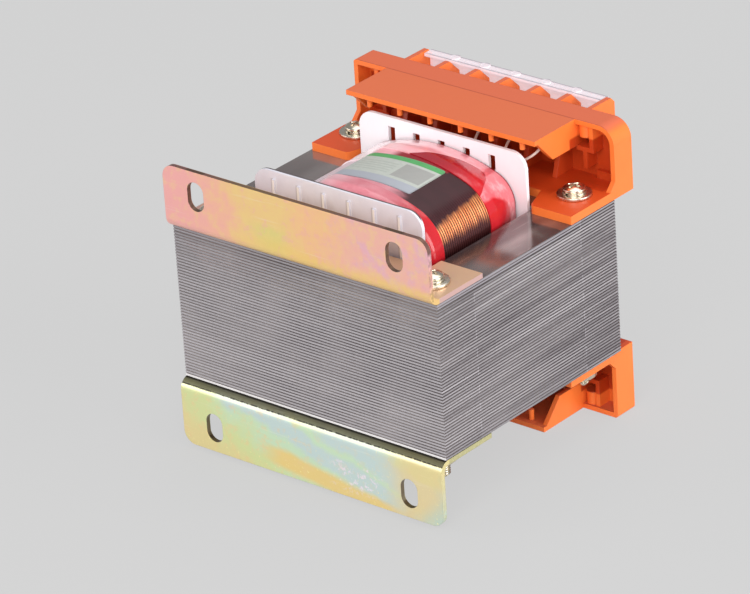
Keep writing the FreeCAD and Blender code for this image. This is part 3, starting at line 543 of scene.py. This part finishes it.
def front_film_paint():
    """Red polyester film by the front flange: pale and pink to the left, full red down the right shoulder."""
    paint = Paint("front_film")
    x, y, _ = paint.place()
    crinkle = paint.noise(3.5, 4.0, 0.62, (1.4, 1.0, 1.0))
    broad = paint.noise(12, 3.0, 0.5)
    along = x + (crinkle - 0.5) * 9 + (broad - 0.5) * 14
    pink = paint.over(
        paint.mix(crinkle, seen(196, 96, 110), seen(230, 164, 172)),
        (along.fall(-14, 2), paint.mix(crinkle, seen(226, 196, 202), seen(242, 224, 228))))
    colour = paint.over(
        # The red is painted brighter towards the right shoulder, as light falling there
        film_red(paint, (x + (broad - 0.5) * 16).rise(6, 30)),
        (along.fall(6, 26) * 0.88, pink),
        (y.fall(18.2, 18.6) * 0.5, seen(140, 20, 36)))
    return film_surface(paint, colour, crinkle, broad)


def rear_film_paint():
    """Rear film: deep red beside the winding, pink where it falls to the flange, red on the shoulder."""
    paint = Paint("rear_film")
    x, y, _ = paint.place()
    crinkle = paint.noise(3.5, 4.0, 0.62, (1.6, 1.0, 1.0))
    broad = paint.noise(12, 3.0, 0.5, shift=2.0)
    patch = paint.noise(6, 2.0, 0.5, shift=5.0)
    wander = (patch - 0.5) * 2.4
    pale = paint.over(
        paint.mix((x + wander * 3).rise(-16, 6), seen(252, 236, 238), seen(244, 160, 168)),
        ((x + wander * 2).rise(8, 24), seen(226, 104, 112)),
        (crinkle.rise(0.45, 0.7) * 0.4, seen(250, 200, 204)))
    steep = ((x - 19).most(0) / 7.7) ** 2
    border = x * 1.25 - x * x * 0.033 - steep * 8 + 44.5
    past = y + wander * 0.5 - border
    beyond = past.rise(-0.2, 0.3) * (x + wander * 0.4).fall(27.6, 28.3)
    rim = past.near(-0.1, 0.1, 0.4) * x.fall(27, 28) * x.rise(0, 3)
    colour = paint.over(
        # The red is painted brighter towards the right shoulder, as light falling there
        film_red(paint, (x + wander).rise(8, 28)),
        (beyond * 0.94, pale),
        (rim * 0.4, seen(150, 22, 40)),
        (y.rise(61.4, 61.7) * 0.9, seen(140, 16, 36)))
    return film_surface(paint, colour, crinkle, broad)


def label_paint():
    """Silver label with a green rear band, a grey front band and plain panels; nothing is printed on it."""
    paint = Paint("label_silver")
    x, y, _ = paint.place()
    across = y - LABEL_Y - (x - LABEL_X) * LABEL_SLOPE
    along = x - LABEL_X + across * LABEL_LEAN
    mottle = paint.noise(1.2, 3.0, 0.6)
    panel = along.near(6.8, 4.6, 0.1) * across.near(0.9, 4.0, 0.1)
    rows = ((across / 1.4).part() - 0.5).near(0, 0.14, 0.08)
    rows = rows * along.near(-5.0, 5.6, 0.2) * across.near(1.0, 3.6, 0.1)
    inside = along.near(0, LABEL_HALF_LENGTH - 0.3, 0.1) * across.near(0, LABEL_HALF_WIDTH - 0.4, 0.1)
    colour = paint.over(
        paint.mix(mottle, seen(196, 200, 192), seen(172, 178, 170)),
        (across.rise(6.0, 6.2), paint.mix(mottle, seen(70, 152, 84), seen(96, 172, 106))),
        (across.fall(-4.6, -4.3), seen(166, 170, 178)),
        (panel * 0.75, seen(150, 148, 146)),
        (rows * 0.22, seen(112, 122, 112)),
        ((1 - inside) * 0.35, seen(120, 122, 124)))
    return paint.surface({"Base Color": colour, "Metallic": 0.12, "Roughness": mottle.spread(0.28, 0.36)})


def plated_paint(name, light, dark, roughness, metallic=1.0):
    """Plated metal: bright, with faint clouds in the plating."""
    paint = Paint(name)
    cloud = paint.noise(2.2, 4.0, 0.6)
    return paint.surface({"Base Color": paint.mix(cloud, light, dark), "Metallic": metallic,
                          "Roughness": cloud.spread(roughness * 0.8, roughness * 1.3),
                          "Normal": paint.soft_edges(0.08)})


def clear_paint():
    """Clear moulded plastic, whitish where it is looked through edgewise, with fine grey edges; its upright
    faces glow faintly as painted light.
    """
    paint = Paint("cover_clear")
    _, y, z = paint.place()
    nz = paint.facing()[2]
    haze = paint.noise(8, 3.0, 0.5)
    flat = abs(nz).rise(0.8, 0.95)
    rear = y + z.fall(0, 1) * LOWER_SHIFT
    lines = rear.near(95.9, 0.25, 0.15).most(rear.near(98.85, 0.25, 0.15)) * flat
    colour = paint.over(paint.mix(haze, seen(250, 242, 248), seen(242, 232, 240)),
                        (lines * 0.7, seen(132, 126, 134)))
    return paint.surface({"Base Color": colour, "Roughness": haze.spread(0.24, 0.34),
                          "Alpha": 0.58 - flat * 0.20 + lines * 0.5, "IOR": 1.49,
                          # The upright faces glow faintly: painted light
                          "Emission Color": paint.mix(flat, colour, (0.0, 0.0, 0.0)),
                          "Emission Strength": 0.20, "Normal": paint.soft_edges(0.15)})


def insulation_paint():
    """Pale film between the windings, faintly mottled."""
    paint = Paint("insulation_film")
    mottle = paint.noise(5, 3.0, 0.5)
    pale = seen(222, 200, 160)
    return paint.surface({"Base Color": paint.mix(mottle, pale, tinted(pale, 0.85, 0.85, 0.85)),
                          "Roughness": mottle.spread(0.4, 0.55)})


def finish_nodes(names, material):
    """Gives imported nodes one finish, in every material place that they have."""
    for name in names:
        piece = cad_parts[name]
        if not piece.material_slots:
            piece.data.materials.append(material)
        for place in piece.material_slots:
            place.material = material


# Surfaces

class Shell:
    """Points in core millimetres and the faces between them, gathered from grids."""

    def __init__(self):
        self.points = []
        self.corners = []
        self.sizes = []
        self.count = 0

    def add_points(self, points):
        points = np.asarray(points, float).reshape(-1, 3)
        first = self.count
        self.points.append(points)
        self.count += len(points)
        return first

    def add_faces(self, faces):
        self.corners.append(faces.ravel())
        self.sizes.append(np.full(len(faces), faces.shape[1]))

    def grid(self, points, close_rows=False, close_columns=False):
        """Quads over a grid of points (rows, columns, 3); they face the way of rows x columns."""
        rows, columns = points.shape[:2]
        first = self.add_points(points)
        row = np.arange(rows if close_rows else rows - 1)
        column = np.arange(columns if close_columns else columns - 1)
        r, c = np.meshgrid(row, column, indexing="ij")
        r2, c2 = (r + 1) % rows, (c + 1) % columns
        quads = np.stack([r * columns + c, r2 * columns + c, r2 * columns + c2, r * columns + c2], axis=-1)
        self.add_faces(quads.reshape(-1, 4) + first)
        return first

    def fan(self, first, count, tip, backwards):
        """Closes a ring of points with triangles to a tip."""
        tip_index = self.add_points([tip])
        ring = np.arange(count) + first
        after = np.roll(ring, -1)
        pair = (after, ring) if backwards else (ring, after)
        self.add_faces(np.stack([*pair, np.full(count, tip_index)], axis=-1))

    def piece(self, name, material, slot_name, node, smooth_angle):
        """One object in the row frame, riding on the root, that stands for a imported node."""
        points = (np.concatenate(self.points) + CORE_TO_ROW) * MM
        corners = np.concatenate(self.corners)
        sizes = np.concatenate(self.sizes)
        mesh = bpy.data.meshes.new(name)
        mesh.vertices.add(len(points))
        mesh.vertices.foreach_set("co", points.astype(np.float32).ravel())
        mesh.loops.add(len(corners))
        mesh.loops.foreach_set("vertex_index", corners.astype(np.int32))
        mesh.polygons.add(len(sizes))
        mesh.polygons.foreach_set("loop_start", (np.cumsum(sizes) - sizes).astype(np.int32))
        mesh.polygons.foreach_set("use_smooth", np.full(len(sizes), True))
        mesh.update(calc_edges=True)
        mesh.validate()
        mesh.set_sharp_from_angle(angle=math.radians(smooth_angle))
        mesh.materials.append(material)
        piece = bpy.data.objects.new(name, mesh)
        bpy.context.scene.collection.objects.link(piece)
        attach(piece, "root")
        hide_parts(node)


def ease(t):
    """0 to 1 with a level start and end: 3 t squared minus 2 t cubed."""
    t = np.clip(t, 0.0, 1.0)
    return t * t * (3 - 2 * t)


def full_turn(count):
    """The angles of count places round a circle."""
    return np.arange(count) / count * 2 * math.pi


def round_points(x, y, radius, angle, height):
    """Points at a radius and an angle about a vertical axis at x, y; the arrays are spread to one shape."""
    points = x + radius * np.cos(angle), y + radius * np.sin(angle), height
    return np.stack(np.broadcast_arrays(*points), axis=-1)


def lathe_points(profile, x, y, count):
    """A profile of (radius, z) carried round a vertical axis at x, y, anticlockwise from above."""
    radius, height = np.asarray(profile, float).T[..., None]
    return round_points(x, y, radius, full_turn(count), height)


def ring_profile(inner, outer, z0, z1, soft):
    """The section of a ring with chamfered edges, from the bore's top outwards and round."""
    return [(inner, z1), (outer - soft, z1), (outer - 0.3 * soft, z1 - 0.3 * soft), (outer, z1 - soft),
            (outer, z0 + soft), (outer - 0.3 * soft, z0 + 0.3 * soft), (outer - soft, z0), (inner, z0)]


def arch_loop(half_width, crown, crown_radius, shoulder_radius, count):
    """The coil's outline as (count, 2) points of X and Z, anticlockwise seen from the front.

    Two crown arcs of one radius over and under the core, a shoulder arc tangent to each end of
    them, and straight sides. The points are spread evenly from the middle of the right side;
    each is worked out in the upper right quarter and mirrored into its own.
    """
    centre = STACK / 2 + crown - crown_radius
    reach = crown_radius - shoulder_radius
    across = half_width - shoulder_radius
    straight = centre + math.sqrt(reach ** 2 - across ** 2)
    lean = math.asin(across / reach)
    length = straight + (math.pi / 2 - lean) * shoulder_radius + lean * crown_radius
    share = np.arange(count) / count * 4
    quarter = np.floor(share)
    along = np.where(quarter % 2 == 0, share - quarter, quarter + 1 - share) * length
    shoulder = (along - straight) / shoulder_radius
    top = (length - along) / crown_radius
    runs = [along < straight, top > lean]
    x = np.select(runs, [half_width, across + shoulder_radius * np.cos(shoulder)], crown_radius * np.sin(top))
    z = np.select(runs, [along, straight + shoulder_radius * np.sin(shoulder)],
                  centre + crown_radius * np.cos(top))
    x = np.where(quarter % 3 == 0, x, -x)
    z = np.where(quarter < 2, z, -z) + STACK / 2
    return np.stack([x, z], axis=-1)


def slackness(x):
    """How slack the winding lies at X: 0 right of -7, rising as ease to 1 left of -19."""
    return ease((-x - 7) / 12)


def coil_surface(ys, grow, lift, count):
    """The outer winding's outline at each Y, moved out along its own normals.

    A point is the outline's point plus its outward normal times grow + lift. Grow is one
    number per row, lift one per row or per point. The left shoulder is wound slacker: there
    grow loses (SLUMP + grow, not below 0) x slackness(X) x ease((Z - STACK + 12) / 12).
    """
    loop = arch_loop(*WINDING_OUTLINE, count)
    step = np.roll(loop, -1, axis=0) - np.roll(loop, 1, axis=0)
    step /= np.linalg.norm(step, axis=1)[:, None]
    slack = slackness(loop[:, 0]) * ease((loop[:, 1] - STACK + 12) / 12)
    grow = np.asarray(grow, float)[:, None]
    grow = grow - np.maximum(0, SLUMP + grow) * slack + lift
    return np.stack(np.broadcast_arrays(loop[:, 0] + step[:, 1] * grow, np.asarray(ys)[:, None],
                                        loop[:, 1] - step[:, 0] * grow), axis=-1)


# Operators

class TRANSFORMER_OT_core(bpy.types.Operator):
    """Give the stacked laminations their finish."""
    bl_idname = "transformer.core"
    bl_label = "Core"

    def execute(self, context):
        finish_nodes(["core_front_e", "core_rear_e", "core_front_i", "core_rear_i"], lamination_paint())
        return {"FINISHED"}


class TRANSFORMER_OT_bobbin(bpy.types.Operator):
    """Finish the bobbin and the insulation between the windings."""
    bl_idname = "transformer.bobbin"
    bl_label = "Bobbin"

    def execute(self, context):
        finish_nodes(["bobbin", "bobbin_front_flange", "bobbin_rear_flange"], bobbin_paint())
        finish_nodes(["winding_insulation"], insulation_paint())
        return {"FINISHED"}


class TRANSFORMER_OT_winding(bpy.types.Operator):
    """Wind the outer winding turn by turn, and finish the inner one."""
    bl_idname = "transformer.winding"
    bl_label = "Windings"

    def execute(self, context):
        copper = copper_paint()
        finish_nodes(["primary_winding"], copper)
        self.wind().piece("outer_winding", copper, "copper_wire", "secondary_winding", 50)
        return {"FINISHED"}

    def wind(self):
        """Round turns side by side down the shoulders and sides, and a level surface over the crown.

        Across one turn t runs from -1 to 1, and the outline shrinks by
        depth x (1 - sqrt(1 - t squared)) x ease((|X| - 24) / 2.5).
        """
        pitch = look().turn_pitch / MM
        depth = look().turn_depth / MM
        count = 176
        tucked = 0.6  # the turns run on this far under the films
        fine = np.arange(FRONT_FILM_END - tucked, REAR_FILM_START + tucked, pitch / 8)
        ys = np.concatenate([[WINDING_FRONT, BAND_FRONT - 0.1, BAND_FRONT], fine,
                             [BAND_REAR, BAND_REAR + 0.1, WINDING_REAR]])
        grow = np.concatenate([[-FRONT_STEP, -FRONT_STEP, -0.05], np.zeros(len(fine)),
                               [-0.05, -REAR_STEP, -REAR_STEP]])
        t = ((fine / pitch) % 1) * 2 - 1
        groove = 1 - np.sqrt(1 - np.clip(t, -0.995, 0.995) ** 2)
        bare = ease((np.abs(arch_loop(*WINDING_OUTLINE, count)[:, 0]) - 24) / 2.5)
        lift = np.zeros((len(ys), count))
        lift[3:-3] = -depth * groove[:, None] * bare
        outer = coil_surface(ys, grow, lift, count)
        bore = np.empty((2, count, 3))
        bore[..., [0, 2]] = arch_loop(*BORE_OUTLINE, count)
        bore[..., 1] = [[WINDING_REAR], [WINDING_FRONT]]
        shell = Shell()
        shell.grid(np.concatenate([outer, bore]), True, True)
        return shell


class TRANSFORMER_OT_film(bpy.types.Operator):
    """Lay the red film over both ends of the winding."""
    bl_idname = "transformer.film"
    bl_label = "Film"

    def execute(self, context):
        front = np.linspace(WINDING_FRONT, FRONT_FILM_END, 22)
        edge = BAND_FRONT + 0.6
        self.lay(front, (edge - front) / (edge - WINDING_FRONT), 2.4).piece(
            "front_film", front_film_paint(), "red_film", "front_tape", 50)
        rear = np.linspace(REAR_FILM_START, WINDING_REAR, 40)
        edge = BAND_REAR - 1.2
        self.lay(rear, (rear - edge) / (WINDING_REAR - edge), 3.8).piece(
            "rear_film", rear_film_paint(), "red_film", "rear_tape", 50)
        return {"FINISHED"}

    def lay(self, ys, fall, drop):
        """Film that falls from the winding to the flange by drop x fall to the power 1.25, faintly rippled.

        The ripple is 0.07 mm x sin(9 a + 0.35 y) + 0.05 mm x sin(23 a - 0.6 y) for the share a
        of the way round, as an angle, and fades to nothing at the film's edges.
        """
        count = 240
        thickness = 0.36
        clearance = 0.02
        around = full_turn(count)
        grow = -drop * np.clip(fall, 0, 1) ** 1.25
        fade = ease((ys - ys[0]) / 1.5) * ease((ys[-1] - ys) / 1.5)
        along = ys[:, None]
        ripple = 0.07 * np.sin(9 * around + 0.35 * along) + 0.05 * np.sin(23 * around - 0.6 * along)
        outer = coil_surface(ys, grow, thickness + ripple * fade[:, None], count)
        inner = coil_surface(ys[::-1], grow[::-1], clearance, count)
        shell = Shell()
        shell.grid(np.concatenate([outer, inner]), True, True)
        return shell


class TRANSFORMER_OT_label(bpy.types.Operator):
    """Stick the bare label on the winding."""
    bl_idname = "transformer.label"
    bl_label = "Label"

    def execute(self, context):
        self.stick().piece("bare_label", label_paint(), "label_silver", "rating_label", 40)
        return {"FINISHED"}

    def stick(self):
        """A thin sheet on the crown: Z is the crown's centre plus sqrt(radius squared - X squared),
        less SLUMP x slackness(X).

        Its outline is a rectangle with rounded corners, |u / half length| to the 30th plus
        |v / half width| to the 30th below one, laid a little askew; its edges lift by 0.05 mm.
        """
        rows, columns = 40, 56
        u, v = np.meshgrid(np.linspace(-1, 1, columns), np.linspace(-1, 1, rows))
        shrink = np.maximum(1.0, (np.abs(u) ** 30 + np.abs(v) ** 30) ** (1 / 30))
        u, v = u / shrink, v / shrink
        lift = 0.05 * np.maximum(np.abs(u), np.abs(v)) ** 12
        u, v = u * LABEL_HALF_LENGTH, v * LABEL_HALF_WIDTH
        x = LABEL_X + u - v * LABEL_LEAN
        y = LABEL_Y + v + (u - v * LABEL_LEAN) * LABEL_SLOPE
        under = CROWN_RADIUS + 0.02
        over = CROWN_RADIUS + 0.16 + lift + 0.015 * np.sin(u * 1.3) * np.sin(v * 1.1)
        centre = STACK + CROWN - CROWN_RADIUS - SLUMP * slackness(x)
        top = np.stack([x, y, centre + np.sqrt(over ** 2 - x ** 2)], axis=-1)
        low = np.stack([x, y, centre + np.sqrt(under ** 2 - x ** 2)], axis=-1)
        shell = Shell()
        first = shell.grid(top.transpose(1, 0, 2))
        second = shell.grid(low)

        # The rim of each face: along the front, up the right, back along the rear, down the left
        faces = (first + np.arange(rows * columns).reshape(columns, rows).T,
                 second + np.arange(rows * columns).reshape(rows, columns))
        top, low = [np.concatenate([at[0], at[1:, -1], at[-1, -2::-1], at[-2:0:-1, 0]]) for at in faces]
        shell.add_faces(np.stack([top, low, np.roll(low, -1), np.roll(top, -1)], axis=-1))
        return shell


class TRANSFORMER_OT_brackets(bpy.types.Operator):
    """Give both mounting brackets their passivated zinc."""
    bl_idname = "transformer.brackets"
    bl_label = "Brackets"

    def execute(self, context):
        finish_nodes(["upper_bracket"], upper_zinc_paint())
        finish_nodes(["lower_bracket"], lower_zinc_paint())
        return {"FINISHED"}


class TRANSFORMER_OT_blocks(bpy.types.Operator):
    """Finish the terminal blocks, their terminals, their clear covers and the leads."""
    bl_idname = "transformer.blocks"
    bl_label = "Terminal blocks"

    def execute(self, context):
        steel = plated_paint("terminal_steel", seen(222, 214, 200), seen(176, 166, 150), 0.22)
        tinned = plated_paint("tinned_wire", seen(255, 246, 236), seen(240, 222, 206), 0.3, metallic=0.3)
        plating = plated_paint("tag_plating", seen(232, 222, 204), seen(200, 184, 152), 0.25)
        finishes = (
            (("terminal_block", "terminal_foot", "terminal_hood", "terminal_webs", "terminal_ledges",
              "terminal_fins"), moulding_paint()),
            (("terminal_tags",), plating),
            (("wire_clamps", "terminal_screws"), steel),
            (("terminal_cover",), clear_paint()),
            (("lead_wires",), tinned),
        )
        for stems, material in finishes:
            finish_nodes([side + stem for side in ("upper_", "lower_") for stem in stems], material)
        return {"FINISHED"}


class TRANSFORMER_OT_screws(bpy.types.Operator):
    """Turn the long clamp screws, with crossed domed heads and a thread at the nut's end."""
    bl_idname = "transformer.screws"
    bl_label = "Clamp screws"

    def execute(self, context):
        zinc = plated_paint("screw_zinc", seen(236, 230, 214), seen(206, 196, 172), 0.22)
        shell = Shell()
        for x, y, clamped in SCREW_PLACES:
            self.turn(shell, x, y, STACK + clamped + FLAT_WASHER + SPRING_WASHER)
        shell.piece("cross_head_screws", zinc, "fastener_steel", "clamp_screws", 42)
        return {"FINISHED"}

    def turn(self, shell, x, y, seat):
        """One closed surface of rows down from the head's middle.

        The dome is 1.6 mm x sqrt(1 - (r / 3.75) squared), less what the recess takes; the
        thread's radius is 2 mm less depth x the distance from a crest, |2 frac(z / pitch
        - angle / turn) - 1|, and tapers in at the end.
        """
        pitch = look().thread_pitch / MM
        depth = look().thread_depth / MM
        dome_height, dome_reach, recess_depth, thread_length = 1.6, 3.75, 0.9, 15.0
        count = 72
        angle = full_turn(count)

        r = np.concatenate([np.linspace(0.12, 2.4, 24), np.linspace(2.5, 3.3, 9)])[:, None]
        px, py = np.abs(r * np.cos(angle)), np.abs(r * np.sin(angle))
        arm, reach = np.minimum(px, py), np.maximum(px, py)
        arm_width = 0.62 - 0.16 * reach
        recess = recess_depth * ease((arm_width - arm) / 0.16 + 0.5) * ease((2.15 - reach) / 0.35)
        dome = dome_height * np.sqrt(1 - (r / dome_reach) ** 2)
        top = round_points(x, y, r, angle, seat + dome - recess)
        rim = lathe_points([(3.34, seat + 0.62), (3.34, seat + 0.3), (3.26, seat + 0.06), (3.1, seat),
                            (2.1, seat), (SHANK_RADIUS, seat - 0.15)], x, y, count)

        end = seat - SCREW_LENGTH
        start = end + thread_length
        plain = lathe_points([(SHANK_RADIUS, start + 0.3)], x, y, count)
        z = np.arange(start, end + 0.2, -pitch / 8)[:, None]
        crest = np.abs(2 * ((z / pitch - angle / (2 * math.pi)) % 1) - 1)
        taper = np.minimum(1.0, (z - end + 0.9) / 1.9)
        radius = (SHANK_RADIUS - depth * crest * ease((start - z) / 1.5)) * taper
        thread = round_points(x, y, radius, angle, z)
        tip = lathe_points([(0.95, end + 0.05), (0.5, end)], x, y, count)

        grid = np.concatenate([top, rim, plain, thread, tip])
        first = shell.grid(grid, False, True)
        shell.fan(first, count, (x, y, seat + dome_height - recess_depth), False)
        shell.fan(first + (len(grid) - 1) * count, count, (x, y, end), True)


class TRANSFORMER_OT_washers(bpy.types.Operator):
    """Lay the flat and split washers under the heads, and the washers and nuts at the far ends."""
    bl_idname = "transformer.washers"
    bl_label = "Washers and nuts"

    def execute(self, context):
        zinc = plated_paint("washer_zinc", seen(232, 226, 212), seen(204, 194, 174), 0.26)
        flat, split, far, nuts = Shell(), Shell(), Shell(), Shell()
        for x, y, clamped in SCREW_PLACES:
            above = STACK + clamped
            below = -clamped - FLAT_WASHER
            for shell, z in ((flat, above), (far, below)):
                section = ring_profile(WASHER_BORE, WASHER_RADIUS, z, z + FLAT_WASHER, WASHER_CHAMFER)
                shell.grid(lathe_points(section, x, y, 72), True, True)
            self.split_ring(split, x, y, above + FLAT_WASHER)
            self.nut(nuts, x, y, below - NUT_HEIGHT)
        for shell, name, node in ((flat, "flat_washers", "clamp_washers"),
                                  (split, "split_washers", "clamp_spring_washers"),
                                  (far, "far_washers", "nut_washers"), (nuts, "hex_nuts", "clamp_nuts")):
            shell.piece(name, zinc, "fastener_steel", node, 38)
        return {"FINISHED"}

    def split_ring(self, shell, x, y, z0):
        """A square section with soft corners carried 346 degrees round, closed at both ends."""
        rows, columns = 64, 16
        middle, half_width, half_height = 2.87, 0.72, SPRING_WASHER / 2
        around = full_turn(columns)
        across = np.sign(np.cos(around)) * np.abs(np.cos(around)) ** 0.4 * half_width
        height = np.sign(np.sin(around)) * np.abs(np.sin(around)) ** 0.4 * half_height
        angle = np.radians(-83 + np.linspace(0, 346, rows))[:, None]
        grid = round_points(x, y, middle + across, angle, z0 + half_height + height)
        first = shell.grid(grid, False, True)
        for row, backwards in ((0, False), (rows - 1, True)):
            shell.fan(first + row * columns, columns, grid[row].mean(axis=0), backwards)

    def nut(self, shell, x, y, z0):
        """Rows round the bore and over the flats: radius half_flats / cos(angle from the nearest flat)."""
        angle = full_turn(72)
        half_flats = 3.5
        hexagon = half_flats / np.cos((angle + math.pi / 6) % (math.pi / 3) - math.pi / 6)
        top = NUT_HEIGHT
        beyond = 9.0  # past the corners, so that the hexagon itself is met
        profile = np.array([(2.02, top), (2.3, top), (3.3, top), (3.72, top - 0.25), (beyond, top - 0.5),
                            (beyond, 0.5), (3.72, 0.25), (3.3, 0.0), (2.3, 0.0), (2.02, 0.0)])
        radius = np.minimum(hexagon, profile[:, :1])
        shell.grid(round_points(x, y, radius, angle, z0 + profile[:, 1:]), True, True)


def stand(item, back, place, roll=0.0):
    """Links a camera or a lamp that looks away from back, turned by roll about that line."""
    right = np.cross([0, 0, 1.0], back)
    right /= np.linalg.norm(right)
    up = np.cross(back, right)
    turned = math.cos(roll) * right + math.sin(roll) * up, math.cos(roll) * up - math.sin(roll) * right
    matrix = np.eye(4)
    matrix[:3] = np.stack([*turned, back, place], axis=-1)
    bpy.context.scene.collection.objects.link(item)
    item.matrix_world = Matrix(matrix.tolist())


class TRANSFORMER_OT_stage(bpy.types.Operator):
    """Set the camera at the portrait's angle, a pale floor and soft studio light."""
    bl_idname = "transformer.stage"
    bl_label = "Stage"

    def execute(self, context):
        context.scene.view_settings.view_transform = "Standard"
        self.camera(context.scene)
        self.floor()
        self.world(context.scene)
        self.lamp("key", (0.80, -1.30, 0.95), 1.3, 26.0)
        self.lamp("side", (1.60, 0.25, 0.55), 1.2, 22.0)
        self.lamp("left", (-1.20, -1.00, 0.60), 1.2, 9.0)
        self.lamp("top", (-0.1, 0.5, 1.5), 1.2, 8.0)
        return {"FINISHED"}

    def camera(self, scene):
        """Looks from a bearing and height, rolled a little, with the optical axis off the frame's middle."""
        bearing, height, roll = math.radians(40.93), math.radians(25.86), math.radians(-3.70)
        target = (np.array([0, 40, 24.0]) + CORE_TO_ROW) * MM
        distance = 1421.9 * MM
        focal_pixels = 4995.0
        back = np.array([math.sin(bearing) * math.cos(height), -math.cos(bearing) * math.cos(height),
                         math.sin(height)])
        data = bpy.data.cameras.new("portrait_camera")
        data.sensor_width = 36
        data.lens = focal_pixels * data.sensor_width / FRAME_WIDTH
        data.shift_x = -23.6 / FRAME_WIDTH
        data.shift_y = -8.9 / FRAME_WIDTH
        data.clip_end = 20
        camera = bpy.data.objects.new("portrait_camera", data)
        stand(camera, back, target + back * distance, roll)
        scene.camera = camera

    def floor(self):
        """Pale paper that takes shadows; looked at or mirrored, it shows mostly the backdrop's tone."""
        size = 4.0
        mesh = bpy.data.meshes.new("floor")
        mesh.from_pydata([(-size, -size, 0), (size, -size, 0), (size, size, 0), (-size, size, 0)], [],
                         [(0, 1, 2, 3)])
        piece = bpy.data.objects.new("floor", mesh)
        bpy.context.scene.collection.objects.link(piece)
        paint = Paint("floor_paper")
        path = paint.node("ShaderNodeLightPath")
        looked_at = Number(paint, path.outputs["Is Camera Ray"])
        for ray in ("Is Glossy Ray", "Is Transmission Ray"):
            looked_at = looked_at.most(Number(paint, path.outputs[ray]))
        shown = paint.node("ShaderNodeEmission", None, {"Color": look().backdrop, "Strength": 1.0})
        lit = paint.node("ShaderNodeBsdfDiffuse", None, {"Color": (0.6, 0.6, 0.6)})
        half = paint.node("ShaderNodeMixShader", None, {0: 0.86, 1: lit.outputs[0], 2: shown.outputs[0]})
        out = paint.node("ShaderNodeMixShader", None, {0: looked_at, 1: lit.outputs[0], 2: half.outputs[0]})
        paint.node("ShaderNodeOutputMaterial", None, {"Surface": out.outputs[0]})
        mesh.materials.append(paint.material)

    def world(self, scene):
        """Even grey light from all round."""
        world = bpy.data.worlds.new("studio")
        world.use_nodes = True
        scene.world = world
        shade = world.node_tree.nodes["Background"]
        shade.inputs["Color"].default_value = (0.62, 0.62, 0.64, 1.0)
        shade.inputs["Strength"].default_value = 0.5

    def lamp(self, name, place, size, power):
        """A square soft box at a place, facing the origin."""
        data = bpy.data.lights.new(name, "AREA")
        data.shape = "SQUARE"
        data.size = size
        data.energy = power
        stand(bpy.data.objects.new(name, data), np.array(place) / np.linalg.norm(place), place)


class TRANSFORMER_PT_portrait(bpy.types.Panel):
    """The sizes, the colours and the steps of the portrait."""
    bl_idname = "TRANSFORMER_PT_portrait"
    bl_label = "Transformer"
    bl_space_type = "VIEW_3D"
    bl_region_type = "UI"
    bl_category = "Transformer"

    def draw(self, context):
        for key in TransformerLook.__annotations__:
            self.layout.prop(context.scene.transformer_look, key)
        for step in STEPS:
            self.layout.operator(step.bl_idname)


STEPS = (TRANSFORMER_OT_core, TRANSFORMER_OT_bobbin, TRANSFORMER_OT_winding, TRANSFORMER_OT_film,
         TRANSFORMER_OT_label, TRANSFORMER_OT_brackets, TRANSFORMER_OT_blocks, TRANSFORMER_OT_screws,
         TRANSFORMER_OT_washers, TRANSFORMER_OT_stage)
CLASSES = (TransformerLook,) + STEPS + (TRANSFORMER_PT_portrait,)


def register():
    for item in CLASSES:
        bpy.utils.register_class(item)
    bpy.types.Scene.transformer_look = bpy.props.PointerProperty(type=TransformerLook)


def unregister():
    del bpy.types.Scene.transformer_look
    for item in reversed(CLASSES):
        bpy.utils.unregister_class(item)


def main():
    register()
    bpy.ops.transformer.core()
    bpy.ops.transformer.bobbin()
    bpy.ops.transformer.winding()
    bpy.ops.transformer.film()
    bpy.ops.transformer.label()
    bpy.ops.transformer.brackets()
    bpy.ops.transformer.blocks()
    bpy.ops.transformer.screws()
    bpy.ops.transformer.washers()
    bpy.ops.transformer.stage()


if __name__ == "__main__":
    main()
